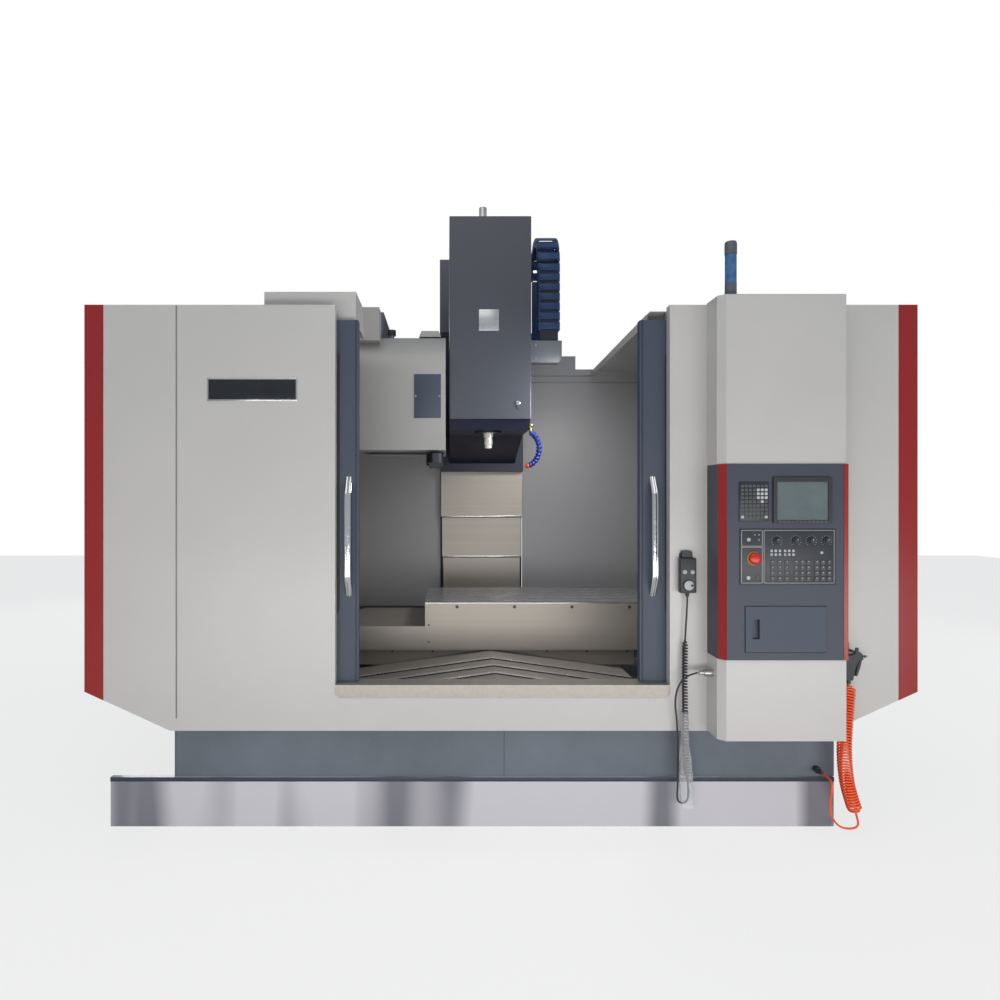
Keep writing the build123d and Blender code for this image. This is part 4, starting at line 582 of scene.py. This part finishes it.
def rounded_loop(left, right, low, high, radius, steps=5):
    """Corner-rounded rectangle as X and Z pairs."""
    loop = []
    middles = ((right, high, 0), (left, high, 90), (left, low, 180), (right, low, 270))
    for x, z, start in middles:
        x += radius if x == left else -radius
        z += radius if z == low else -radius
        for i in range(steps + 1):
            turn = radians(start + 90 * i / steps)
            loop.append((x + radius * cos(turn), z + radius * sin(turn)))
    return loop


def push(shape, faces, reach, paint=0):
    """Solid made by pushing flat faces straight along a vector; gives all its faces."""
    before = set(shape.faces) - set(faces)
    pushed = bmesh.ops.extrude_face_region(shape, geom=faces, use_keep_orig=True)["geom"]
    moved = [item for item in pushed if isinstance(item, bmesh.types.BMVert)]
    bmesh.ops.translate(shape, vec=reach, verts=moved)
    made = list(set(shape.faces) - before)
    bmesh.ops.recalc_face_normals(shape, faces=made)
    for face in made:
        face.material_index = paint
    return made


def ring(shape, outer, inner, near, far, paint=0):
    """Frame between an outer and an inner loop, from one Y to another."""
    faces = bridged(shape, [[(x, near, z) for x, z in loop] for loop in (outer, inner)])
    push(shape, faces, (0, far - near, 0), paint)


for side, name, lead, tail, (left, right), handle_x in (
    (-1, "left_door", -0.674, -1.474, (-1.384, -0.770), -0.720),
    (1, "right_door", 0.665, 1.465, (0.791, 1.375), 0.727),
):
    shape = bmesh.new()
    leaf = rounded_loop(*sorted((lead, tail)), door_low, door_high, 0.004)
    opening = rounded_loop(left, right, window_low, window_high, 0.030)
    ring(shape, leaf, opening, door_near, door_far)
    seal_edges = [
        rounded_loop(left - out, right + out, window_low - out, window_high + out, corner)
        for out, corner in ((seal_lap, 0.034), (-seal_lip, 0.022))
    ]
    ring(shape, *seal_edges, door_near - seal_proud, door_far + seal_proud, 1)
    block(
        shape,
        (left + pane_gap, pane_near, window_low + pane_gap),
        (right - pane_gap, pane_near + pane_thick, window_high - pane_gap),
        2,
    )
    channel = lead + side * channel_in
    block(
        shape,
        (channel - channel_half, door_near - 0.002, door_low),
        (channel + channel_half, door_near, door_high),
        1,
    )
    grip = []
    for i in range(grip_steps + 1):
        z = handle_low + (handle_high - handle_low) * i / grip_steps
        slant = min(z - handle_low, handle_high - z) / slant_rise
        stand = handle_stand * (slant + 1 - sqrt((slant - 1) ** 2 + 0.02)) / 2
        lean = 0 if slant > 1.3 else (0.5 if z < 1.3 else -0.5) * max(0, min(1, 1.5 - slant))
        corners = []
        for j in range(grip_corners):
            around = 2 * pi * j / grip_corners
            across = grip_half * cos(around)
            out = (grip_thick + 0.0011 * cos(3 * pi * across / grip_half)) * sin(around)
            y = door_near + 0.0065 - stand - out * cos(lean)
            corners.append((handle_x + across, y, z - out * sin(lean)))
        grip.append(corners)
    bridged(shape, grip, 3, capped=True)
    finished(shape, name + "_leaf", [slate_coat, rubber, pane_glass, chrome], name, "slate_paint", name)

# Coolant tank: low sheet tank rolled in under the bed, whose glossy facing has the
# shop's reflection painted on in soft upright bands. A dark strip along its rim is the
# painted shadow of the gap under the bed.
tank_coat_with_painted_reflection, tree, shader = new_finish("tank_coat_with_painted_reflection")
place = add_node(tree, "ShaderNodeTexCoord")
drawn = add_node(tree, "ShaderNodeVectorMath", operation="MULTIPLY")
drawn.inputs[1].default_value = (3.1, 0.2, 0.25)
bands = fill(add_node(tree, "ShaderNodeTexNoise"), Scale=1, Detail=1)
tree.links.new(place.outputs["Object"], drawn.inputs[0])
tree.links.new(drawn.outputs[0], bands.inputs["Vector"])
# Painted reflection: the facing's colour runs from dark to pale grey in soft upright bands, standing for
# the shop mirrored in its gloss.
tree.links.new(
    tone_ramp(tree, bands.outputs["Fac"], linear(122, 122, 130), linear(202, 200, 206), 0.36, 0.5),
    shader.inputs["Base Color"],
)
tree.links.new(between(tree, bands.outputs["Fac"], 0.2, 0.12), shader.inputs["Roughness"])
fill(shader, Coat_Weight=0.6)
wear_finish(tank_coat_with_painted_reflection, "coolant_tank")
shape = bmesh.new()
# Painted shadow: a thin dark strip at the top of the tank's facing, for the shade in the gap under the bed.
block(shape, (-1.844, front + 0.0285, 0.212), (1.577, front + 0.031, 0.2318), 0, 0.0008)
gap_shadow_paint = moulded_plastic("gap_shadow_paint", linear(50, 58, 74), 0.5)
finished(shape, "tank_gap_shadow", [gap_shadow_paint], "frame", "pale_paint")


# Castings: bed, column, saddle, head and changer frame in grey iron, filled, rubbed
# down and enamelled blue grey, the head nearly black.
def painted_casting(name, colour, rough=0.5):
    """Thick machine enamel on grey iron, with the casting's skin showing through."""
    finish, tree, shader = new_finish(name)
    wear = use_group(tree, handled_surface, Cloud_Size=3, Speck_Size=120)
    clouds = wear.outputs["Clouds"]
    varied(tree, shader, clouds, colour, 0.2, clouds, (rough + 0.08, rough - 0.06))
    relief(tree, shader, wear.outputs["Specks"], 0.25, 0.0012)
    return finish


casting_paint = painted_casting("casting_paint", linear(96, 104, 114))
wear_finish(casting_paint, "machine_bed", "column", "saddle", "changer_frame")
wear_finish(painted_casting("head_paint", linear(18, 26, 52)), "head_casting")

# Bare steel: ground rails and table, oiled changer arm, and way covers, sill and
# spindle nose in stainless, each brushed or ground along its length.
ground = brushed_metal("ground_steel", (0.50, 0.49, 0.47), (300, 6, 6))
wear_finish(ground, "guide_rails", "tool_magazine")
wear_finish(brushed_metal("oiled_steel", (0.075, 0.08, 0.09), (40, 40, 200), 0.34), "arm_quill", "tool_arm")
wear_finish(brushed_metal("spindle_steel", (0.84, 0.81, 0.76), (60, 60, 500), 0.24, 0.05, 0.35), "spindle")
wear_finish(ground, "levelling_feet", "pendant_connector")
stainless = brushed_metal("stainless_sheet", linear(164, 158, 150), (3, 900, 900), 0.46, 0.05, 0.5)
wear_finish(stainless, "table_covers", "x_cover_2", "x_cover_3", "saddle_covers", "fixed_covers")
wear_finish(stainless, "y_cover_2", "y_cover_3", "y_cover_4", "z_cover_1", "z_cover_2", "z_cover_3")
sill_steel = brushed_metal("sill_steel", linear(164, 159, 152), (900, 3, 900), 0.34, 0.08, 0.5)
wear_finish(sill_steel, "front_sill")
table_steel = brushed_metal("table_steel", linear(150, 150, 154), (8, 500, 500), 0.26, 0.1, 0.7)
wear_finish(table_steel, "table")


# Head dress: a small plain aluminium plate glued to the head's cover, the cam lock
# that holds the cover and the breather's bright cap on top.
def turned(shape, profile, centre, axis=(0, -1, 0), paint=0, steps=40):
    """Turned form: its profile gives radius and place along the axis, from the centre."""
    axis = Vector(axis).normalized()
    out = axis.orthogonal().normalized()
    centre = Vector(centre)
    before = set(shape.faces)
    line = [shape.verts.new(centre + out * radius + axis * place) for radius, place in profile]
    edges = [shape.edges.new(pair) for pair in zip(line, line[1:])]
    bmesh.ops.spin(
        shape, geom=line + edges, cent=centre, axis=axis, angle=2 * pi, steps=steps, use_merge=True
    )
    for face in set(shape.faces) - before:
        face.material_index = paint


cover_near = front + 0.800
shape = bmesh.new()
block(shape, (-0.067, cover_near - 0.0022, 2.531), (0.050, cover_near, 2.656), 0, 0.0008)
cam_lock = [(0, 0), (0.013, 0), (0.013, 0.004), (0.009, 0.006), (0.009, 0.010), (0, 0.010)]
turned(shape, cam_lock, (0.162, cover_near, 2.108))
breather_cap = [(0.0228, 0), (0.0228, 0.058), (0.019, 0.0605), (0, 0.0605)]
turned(shape, breather_cap, (-0.042, cover_near + 0.034, 3.2015), (0, 0, 1))
plate_aluminium = brushed_metal("plate_aluminium", (0.62, 0.63, 0.64), (30, 30, 500), 0.3)
finished(shape, "head_plate", [plate_aluminium], "head", "stainless")

# Control unit: moulded bezel round the screen with its soft keys below, and the data
# keypad, whose number block is pale. Both are let into the fascia.
fascia_y = front - 0.158
screen = (1.214, 1.441, 1.453, 1.624)  # left, right, low and high edge
keypad_x, keypad_z = 1.1125, 1.5365  # its middle


def pad(shape, x, z, half, near, far, paint=0, round_to=0.0):
    """Block on an upright face, given by its middle, half its width and height, and two Ys."""
    wide, high = half
    block(shape, (x - wide, near, z - high), (x + wide, far, z + high), paint, round_to)


bezel_plastic = moulded_plastic("bezel_plastic", (0.022, 0.024, 0.028), 0.38)
key_dark = moulded_plastic("key_dark", (0.075, 0.08, 0.09), 0.5)
key_pale = moulded_plastic("key_pale", linear(176, 180, 182), 0.5)
screen_glass, tree, shader = new_finish("screen_glass")
wear = use_group(tree, handled_surface, Cloud_Size=9, Speck_Size=900)
tree.links.new(
    tone_ramp(tree, wear.outputs["Clouds"], linear(92, 103, 106), linear(106, 118, 120)),
    shader.inputs["Base Color"],
)
fill(shader, Roughness=0.16)
shape = bmesh.new()
bezel = rounded_loop(1.197, 1.458, 1.440, 1.646, 0.006)
ring(shape, bezel, rounded_loop(*screen, 0.003), fascia_y - 0.010, fascia_y)
block(shape, (screen[0], fascia_y - 0.005, screen[2]), (screen[1], fascia_y, screen[3]), 1)
for i in range(12):
    x = 1.2265 + i * 0.0184
    pad(shape, x, 1.4465, (0.007, 0.004), fascia_y - 0.012, fascia_y - 0.009, 2, 0.001)
block(shape, (1.047, fascia_y - 0.006, 1.449), (1.178, fascia_y, 1.624), 0, 0.002)
for column in range(7):
    for row in range(9):
        x = keypad_x + (column - 3) * 0.0175
        z = keypad_z + (row - 4) * 0.0172
        number_key = column >= 4 and 5 <= row <= 7 or (column, row) in ((5, 4), (0, 0), (6, 0))
        paint = 3 if number_key else 2
        pad(shape, x, z, (0.0067, 0.0062), fascia_y - 0.0092, fascia_y - 0.005, paint, 0.0015)
paints = [bezel_plastic, screen_glass, key_dark, key_pale]
finished(shape, "display_and_keypad", paints, "frame", "dark_plastic", "display_unit")

# Operator panel: one dark film-covered plate with fine printed frames, rows of keys,
# dial marks round the four selector knobs and the yellow ring of the emergency stop.
plate_y = fascia_y - 0.005
print_thick, line_wide = 0.0004, 0.0018
knob_z = 1.362
knob_columns = (1.214, 1.298, 1.367, 1.435)
stop_place = (1.112, plate_y, 1.283)


def prism(shape, outline, reach, paint=0, round_to=0.0):
    """Flat outline pushed straight along a vector."""
    face = shape.faces.new([shape.verts.new(point) for point in outline])
    made = push(shape, [face], reach, paint)
    if round_to:
        soften(shape, made, round_to)


panel_film = moulded_plastic("panel_film", linear(52, 55, 62), 0.42)
print_white = moulded_plastic("print_white", linear(176, 178, 176), 0.5)
ring_yellow = moulded_plastic("ring_yellow", linear(214, 170, 40), 0.4)
shape = bmesh.new()
block(shape, (1.050, plate_y, 1.167), (1.475, fascia_y, 1.415), 0, 0.0015)
for left, right, low, high in (
    (1.056, 1.150, 1.173, 1.334),
    (1.056, 1.150, 1.337, 1.409),
    (1.156, 1.469, 1.173, 1.409),
):
    outer = rounded_loop(left, right, low, high, 0.004, 2)
    inner = rounded_loop(left + line_wide, right - line_wide, low + line_wide, high - line_wide, 0.003, 2)
    ring(shape, outer, inner, plate_y - print_thick, plate_y, 1)
for middle_x, middle_z, rows, pitch, rise, half, paint in (
    (1.208, 1.309, 2, 0.0185, 0.0165, 0.0055, 3),
    (1.268, 1.309, 2, 0.0185, 0.0165, 0.0055, 3),
    (1.2265, 1.229, 4, 0.032, 0.0245, 0.0095, 2),
    (1.3265, 1.229, 4, 0.0275, 0.0245, 0.0095, 2),
    (1.419, 1.229, 4, 0.0275, 0.0245, 0.0095, 2),
):
    for column in range(3):
        for row in range(rows):
            x = middle_x + (column - 1) * pitch
            z = middle_z + (row - (rows - 1) / 2) * rise
            pad(shape, x, z, (half, half), plate_y - 0.003, plate_y, paint, 0.0016)
            if paint == 2:
                pad(shape, x, z + 0.004, (0.0022, 0.002), plate_y - 0.0033, plate_y - 0.0028, 1)
for x in knob_columns:
    for i in range(11):
        turn = radians(-135 + 27 * i)
        outline = [
            (
                x + reach * sin(turn) + across * cos(turn),
                plate_y - print_thick,
                knob_z + reach * cos(turn) - across * sin(turn),
            )
            for reach, across in ((0.021, -0.0007), (0.021, 0.0007), (0.025, 0.0007), (0.025, -0.0007))
        ]
        prism(shape, outline, (0, print_thick, 0), 1)
turned(shape, [(0.0125, 0.003), (0.030, 0.003), (0.0305, 0.0), (0.0125, 0)], stop_place, paint=4)
push_button = [(0, 0.0032), (0.0075, 0.0032), (0.009, 0.002), (0.009, 0)]
for x, paint in ((1.087, 3), (1.127, 2)):
    turned(shape, push_button, (x, plate_y, 1.197), paint=paint)
for x, z, radius, paint in (
    (1.089, 1.367, 0.0085, 3),
    (1.115, 1.388, 0.003, 1),
    (1.134, 1.388, 0.003, 1),
    (1.134, 1.366, 0.003, 1),
    (1.413, 1.309, 0.007, 3),
):
    turned(shape, [(0, 0.0035), (0.8 * radius, 0.003), (radius, 0)], (x, plate_y, z), paint=paint, steps=20)
paints = [panel_film, print_white, key_dark, key_pale, ring_yellow]
finished(shape, "operator_plate", paints, "frame", "dark_plastic", "operator_panel")


# Selector knobs: moulded black skirt with a finger grip across it and a white pointer
# line let into the grip, pressed on a steel spindle.
def selector_knob(shape, x, z, radius, height, base, dark=0, light=1):
    """Knob on an axis along Y, its pointer upright."""
    skirt = ((0, 1), (0.66, 1), (0.72, 0.94), (0.74, 0.42), (0.96, 0.36), (1, 0.28), (1, 0), (0, 0))
    profile = [(radius * out, height * up) for out, up in skirt]
    turned(shape, profile, (x, base, z), paint=dark)
    top = base - height
    pad(shape, x, z, (radius * 0.16, radius * 0.6), top - 0.0008, top + 0.001, dark, 0.0004)
    pad(shape, x, z + radius * 0.35, (0.001, radius * 0.25), top - 0.001, top - 0.0006, light)


black_plastic = moulded_plastic("black_plastic", (0.03, 0.032, 0.038))
knobs = ("mode_knob", "feed_override_knob", "spindle_override_knob", "rapid_override_knob")
knob_bodies = ("mode_knob", "feed_knob", "speed_knob", "rapid_knob")
for name, body, x in zip(knobs, knob_bodies, knob_columns):
    shape = bmesh.new()
    selector_knob(shape, x, knob_z, 0.017, 0.018, plate_y - 0.0003)
    finished(shape, name + "_dial", [black_plastic, print_white], body, "dark_plastic", name)

# Emergency stop: glossy red mushroom head on its stem, which latches when pushed
# and stands over the yellow ring.
mushroom = [(0, 0.0250), (0.014, 0.0246), (0.022, 0.0228), (0.0265, 0.0185), (0.028, 0.0125)]
mushroom += [(0.0275, 0.0085), (0.012, 0.0080), (0.012, 0.0050), (0, 0.0050)]
shape = bmesh.new()
turned(shape, mushroom, stop_place)
stop_red = moulded_plastic("stop_red", linear(196, 36, 22), 0.28)
finished(shape, "stop_head", [stop_red], "estop", "red_plastic", "estop_button")

# Signal lamp: grey moulded base and cap with a ribbed blue lens between them, screwed
# on the pod's roof.
shape = bmesh.new()
lamp_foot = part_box("signal_lamp")[0][2]
lamp_place = (1.045, front - 0.075, 0)
lens_low, lens_high, rib_pitch = 2.532, 2.664, 0.008
base = [(0, lamp_foot), (0.026, lamp_foot), (0.026, lens_low - 0.002), (0.0245, lens_low)]
turned(shape, base, lamp_place, (0, 0, 1))
ribs = [(0.0245, lens_low)]
for i in range(16):
    z = lens_low + 0.002 + i * rib_pitch
    ribs += [(0.0258, z), (0.0250, z + rib_pitch / 2)]
ribs += [(0.0258, lens_high - 0.002), (0.0245, lens_high)]
turned(shape, ribs, lamp_place, (0, 0, 1), 1)
cap = [(0.0245, lens_high), (0.027, 2.665), (0.027, 2.714), (0.024, 2.722), (0, 2.724)]
turned(shape, cap, lamp_place, (0, 0, 1))
lens_blue, tree, shader = new_finish("lens_blue")
wear = use_group(tree, handled_surface, Cloud_Size=30, Speck_Size=600)
tree.links.new(
    tone_ramp(tree, wear.outputs["Clouds"], linear(38, 84, 140), linear(86, 132, 178)),
    shader.inputs["Base Color"],
)
fill(shader, Roughness=0.16, Transmission_Weight=0.25)
lamp_grey = moulded_plastic("lamp_grey", linear(86, 92, 100), 0.4)
finished(shape, "signal_light", [lamp_grey, lens_blue], "frame", "lamp", "signal_lamp")

# Hand pendant: black moulded housing with ears at its top, two selector knobs and the
# hand wheel with its silver dial, hung on a bracket of the same plastic.
wear_finish(moulded_plastic("bracket_black", (0.03, 0.032, 0.036), 0.5), "panel_brackets")
pendant_front, pendant_back = front - 0.042, front - 0.008
pendant_half = 0.038
shape = bmesh.new()
block(
    shape,
    (pendant_x - pendant_half, pendant_front, 1.112),
    (pendant_x + pendant_half, pendant_back, 1.274),
    round_to=0.006,
    steps=3,
)
for offset in (-0.026, 0.026):
    ear_x = pendant_x + offset
    pad(shape, ear_x, 1.2685, (0.008, 0.0065), pendant_front + 0.006, front - 0.010, 0, 0.003)
gland = [(0.0045, 1.094), (0.0075, 1.096), (0.009, 1.104), (0.009, 1.116)]
turned(shape, gland, (pendant_x, cord_y, 0), (0, 0, 1))
for offset in (-0.018, 0.018):
    selector_knob(shape, pendant_x + offset, 1.210, 0.010, 0.0085, pendant_front, 1, 0)
finished(shape, "pendant_housing", [black_plastic, key_pale], "frame", "dark_plastic", "hand_pendant")
shape = bmesh.new()
wheel_place = (pendant_x, pendant_front - 0.0003, 1.148)
turned(shape, [(0, 0), (0.027, 0), (0.027, 0.006), (0.0255, 0.008), (0.022, 0.008)], wheel_place)
turned(shape, [(0.022, 0.008), (0.021, 0.0085), (0, 0.0085)], wheel_place, paint=2)
crank = [(0, 0.0195), (0.004, 0.0190), (0.005, 0.016), (0.0035, 0.010), (0.005, 0.0085)]
turned(shape, crank, Vector(wheel_place) + Vector((0.014, 0, 0)))
paints = [black_plastic, lamp_grey, key_pale]
finished(shape, "hand_wheel", paints, "pendant_wheel", "dark_plastic", "pendant_wheel")

# Coolant nozzle: blue moulded segments snapped together from a brass valve with a red
# lever to an orange tip, bent round towards the spindle.
valve = Vector((0.252, front + 0.940, 1.948))
bend_wide, bend_high, bend_start = 0.082, 0.105, 68.5
bend = valve - Vector((bend_wide * cos(radians(bend_start)), 0, bend_high * sin(radians(bend_start))))
hose_blue = moulded_plastic("hose_blue", linear(30, 46, 132), 0.3)
brass = brushed_metal("valve_brass", (0.42, 0.30, 0.12), (90, 90, 90), 0.3)
tip_orange = moulded_plastic("tip_orange", linear(214, 88, 30), 0.34)
segments = 12
segment_turn = 12.2
segment = [(0.0110, -0.002), (0.0172, 0.000), (0.0188, 0.004), (0.0176, 0.0085)]
segment += [(0.0140, 0.0125), (0.0122, 0.018), (0.0122, 0.021)]
tip = [(0.0170, -0.001), (0.0180, 0.004), (0.0160, 0.008), (0.0070, 0.021), (0.004, 0.021)]
shape = bmesh.new()
for i in range(segments + 1):
    turn = radians(bend_start - i * segment_turn)
    ahead = turn - radians(8)
    spot = bend + Vector((bend_wide * cos(turn), 0, bend_high * sin(turn)))
    aim = bend + Vector((bend_wide * cos(ahead), 0, bend_high * sin(ahead))) - spot
    last = i == segments
    turned(shape, tip if last else segment, spot, aim, 1 if last else 0, 24)
valve_top = valve.z + 0.040
pad(shape, 0.251, valve_top, (0.014, 0.013), valve.y - 0.013, valve.y + 0.013, 2, 0.003)
stem = [(0.0075, -0.002), (0.0105, 0.0), (0.0105, 0.010), (0.009, 0.012), (0.009, 0.030)]
turned(shape, stem, valve, (0, 0, 1), 2, 24)
turned(shape, [(0.006, 0), (0.006, 0.004), (0, 0.004)], (0.265, valve.y, valve_top), (1, 0, 0), 2, 20)
pad(shape, 0.2705, valve_top, (0.0015, 0.0045), valve.y - 0.036, valve.y + 0.008, 3, 0.0014)
paints = [hose_blue, tip_orange, brass, red_coat]
finished(shape, "coolant_nozzle", paints, "head", "blue_plastic", "coolant_line")

# Cable chain: moulded links, each a pair of side plates with two cross bars, run from
# the head's bracket up over a loop and down into the sleeve on the column's shelf.
chain_left, chain_right = 0.318, 0.458
chain_x = (chain_left + chain_right) / 2
chain_thick = 0.060
chain_near = front + 1.100
loop_radius = 0.190
loop_y = chain_near + chain_thick / 2 + loop_radius
loop_z = 3.036
front_leg_low, rear_leg_low, strand_low = 2.545, 2.642, 2.424
link_pitch = 0.0614
arch_links, arch_link_long = 8, 0.069
leg_half, leg_deep = 0.0572, 0.0212  # plain runs that slide inside the links' width
cable_half = 0.058  # flat bundle of cables seen between the front links


def chain_link(shape, place, tilt, length):
    """One link at a place on the chain's line, turned by its tilt about X."""
    half = chain_thick / 2
    before = set(shape.verts)
    for side in (-1, 1):
        pad(shape, side * 0.061, 0, (0.009, length / 2), 0.002 - half, half - 0.002, 0, 0.006)
        pad(shape, side * 0.0712 - 0.001, 0, (0.0005, 0.010), -0.010, 0.010)
    for near in (-half, half - 0.007):
        pad(shape, 0, 0, (0.060, length * 0.34), near, near + 0.007, 0, 0.002)
    turn = Matrix.Rotation(tilt, 3, "X")
    for corner in set(shape.verts) - before:
        corner.co = turn @ corner.co + Vector(place)


chain_nylon = moulded_plastic("chain_nylon", linear(34, 64, 110), 0.36)
shape = bmesh.new()
for i in range(int((loop_z - front_leg_low) / link_pitch)):
    z = loop_z - (i + 0.5) * link_pitch
    chain_link(shape, (chain_x, loop_y - loop_radius, z), 0, link_pitch - 0.003)
for i in range(arch_links):
    turn = pi * (i + 0.5) / arch_links
    place = (chain_x, loop_y - loop_radius * cos(turn), loop_z + loop_radius * sin(turn))
    chain_link(shape, place, -turn, arch_link_long)
rear_leg, front_leg = loop_y + loop_radius, loop_y - loop_radius
block(
    shape,
    (chain_x - leg_half, rear_leg - leg_deep, rear_leg_low),
    (chain_x + leg_half, rear_leg + leg_deep, loop_z),
    round_to=0.003,
)
block(
    shape,
    (chain_x - cable_half, front_leg - 0.022, front_leg_low + 0.002),
    (chain_x + cable_half, front_leg - 0.012, loop_z),
    1,
)
cable_black = moulded_plastic("cable_black", (0.008, 0.013, 0.030), 0.5, 300)
finished(shape, "chain_links", [chain_nylon, cable_black], "cable_loop", "chain_plastic", "chain_loop")
shape = bmesh.new()
strand_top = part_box("chain_head_end")[1][2]
block(
    shape,
    (chain_x - leg_half, front_leg - leg_deep, strand_low),
    (chain_x + leg_half, front_leg + leg_deep, strand_top),
    round_to=0.002,
)
bracket = [(0.240, 2.402), (0.446, 2.402), (0.467, 2.424), (0.467, 2.541), (0.240, 2.541)]
bracket_near = chain_near - 0.012
outline = [(x, bracket_near, z) for x, z in bracket]
prism(shape, outline, (0, chain_thick + 0.024, 0), 1, 0.003)
screw = [(0, 0.005), (0.006, 0.005), (0.0075, 0.004), (0.0075, 0)]
for x in (0.262, 0.300):
    for z in (2.43, 2.51):
        turned(shape, screw, (x, bracket_near, z), paint=2, steps=6)
paints = [cable_black, powder_coat("bracket_grey", linear(104, 108, 118), 0.4), polished]
finished(shape, "chain_bracket", paints, "head", "chain_plastic", "chain_head_end")
wear_finish(moulded_plastic("chain_end_nylon", linear(30, 56, 98), 0.4), "chain_column_end")

# Changer dress: the slate inspection hatch, a bent sheet lid with a screw at each
# side, and the dark moulded knob on top of the cover.
changer_near = front + 0.690
shape = bmesh.new()
block(shape, (-0.441, changer_near - 0.0034, 2.007), (-0.288, changer_near - 0.0015, 2.257), 0, 0.0008)
for x in (-0.432, -0.297):
    place = (x, changer_near - 0.0034, 2.132)
    turned(shape, [(0, 0.0025), (0.004, 0.0022), (0.0055, 0)], place, paint=1, steps=20)
knob = [(0.0245, 2.5405), (0.0246, 2.572), (0.021, 2.5752), (0, 2.5755)]
turned(shape, knob, (-0.590, front + 0.970, 0), (0, 0, 1), 2)
finished(shape, "changer_hatch", [slate_coat, polished, black_plastic], "frame", "slate_paint")

# Roof wipers: bright sprung steel over a rubber lip, riveted along the front edge of
# each of the four roof-shaped cover plates. The dark lip is also painted shade: it
# gives the dark line under each plate's front edge.
wiper_steel = brushed_metal("wiper_steel", (0.74, 0.73, 0.71), (220, 3, 3), 0.22, 0.25, 0.6)
lip_rubber_and_shade = moulded_plastic("lip_rubber_and_shade", (0.025, 0.025, 0.028), 0.6)
roof_fall = sin(radians(8)) / cos(radians(8))
first_lip, last_lip = front + 0.660, front + 0.100  # where the covers' front edges start and end
wiper_wide, wiper_lift = 0.034, 0.00025
rubber_wide, rubber_drop = 0.0012, 0.0052
for k, body in enumerate(("saddle", "y_plate_2", "y_plate_3", "y_plate_4")):
    half = 0.790 - k * 0.006
    ridge = 0.648 - k * 0.006
    eave = ridge - half * roof_fall
    near = first_lip + (last_lip - first_lip) * k / 4
    shape = bmesh.new()
    # The rubber lip hangs below the steel as a dark line: partly the real wiper, partly painted shade under
    # the plate's edge.
    for start, reach, drop, paint in ((0, wiper_wide, 0, 0), (-rubber_wide, rubber_wide, rubber_drop, 1)):
        top = [(-half, eave + wiper_lift), (0, ridge + wiper_lift), (half, eave + wiper_lift)]
        foot = [(half, eave - drop), (0, ridge - drop), (-half, eave - drop)]
        prism(shape, [(x, near + start, z) for x, z in top + foot], (0, reach, 0), paint)
    finished(shape, f"roof_wiper_and_shade_line_{k + 1}", [wiper_steel, lip_rubber_and_shade], body, "stainless")

# Column cover lips: a bright folded edge over a dark rubber wiper at the foot of each
# of the three plates that slide down the column with the head. The dark wiper is also
# painted shade, standing for the shadow line where each plate laps over the next.
for k, body in enumerate(("head", "z_plate_2", "z_plate_3")):
    foot = 1.414 - 0.296 * k
    half = 0.299 - 0.008 * k
    near = front + 1.850 + 0.008 * k
    shape = bmesh.new()
    block(shape, (-half, near - 0.0016, foot), (half, near + 0.001, foot + 0.008), 0, 0.0006)
    # Dark rubber wiper, also the painted shadow line under the plate's foot.
    block(shape, (-half, near - 0.0008, foot - 0.0055), (half, near + 0.0065, foot), 1, 0.0008)
    finished(shape, f"column_lip_and_shade_line_{k + 1}", [wiper_steel, lip_rubber_and_shade], body, "stainless")

# Table dress: black cap screws along the apron and the saddle's front plate, and thin
# bright steel strips along the five T-slots' edges, painted highlights on those edges.
apron_y, table_y = front + 0.847, front + 1.200
slot_pitch, edge_half = 0.125, 0.006
shape = bmesh.new()
cap_screw = [(0, 0.0015), (0.004, 0.0035), (0.0085, 0.0035), (0.0095, 0)]
for i in range(4):
    place = (0.316 + (i - 1.5) * 0.340, apron_y - 0.003, 0.908)
    turned(shape, cap_screw, place, steps=24)
for z in (0.700, 0.800):
    turned(shape, [(0, 0.0012), (0.0045, 0.0012), (0.0055, 0)], (-0.362, apron_y, z), steps=16)
finished(shape, "apron_screws", [black_plastic], "table", "stainless")
shape = bmesh.new()
# Painted highlights: thin bright strips laid on the table top along each slot edge.
for i in range(5):
    for side in (-1, 1):
        y = table_y + (i - 2) * slot_pitch + side * 0.0155
        block(shape, (-0.384, y - edge_half, 0.9312), (1.016, y + edge_half, 0.9323))
finished(shape, "slot_edge_highlights", [wiper_steel], "table", "ground_steel")
shape = bmesh.new()
plate_screw = [(0, 0.0010), (0.0046, 0.0010), (0.0058, 0)]
for x in (-0.82, -0.58, -0.34, 0.34, 0.58, 0.82):
    turned(shape, plate_screw, (x, front + 0.874, 0.638), steps=16)
finished(shape, "saddle_screws", [black_plastic], "saddle", "stainless")

# Blow gun: moulded black body and trigger with a bright steel tip screwed into its
# nose, hung on its hook at the right of the pod.
shape = bmesh.new()
gun_nose = [(0.0062, 0), (0.0062, 0.006), (0.0048, 0.010), (0.0035, 0.010)]
turned(shape, gun_nose, (gun_x + 0.0565, gun_y, 0.8238), (1, 0, -0.12), steps=20)
finished(shape, "gun_tip", [polished], "frame", "dark_plastic")
wear_finish(black_plastic, "air_gun", "gun_trigger")
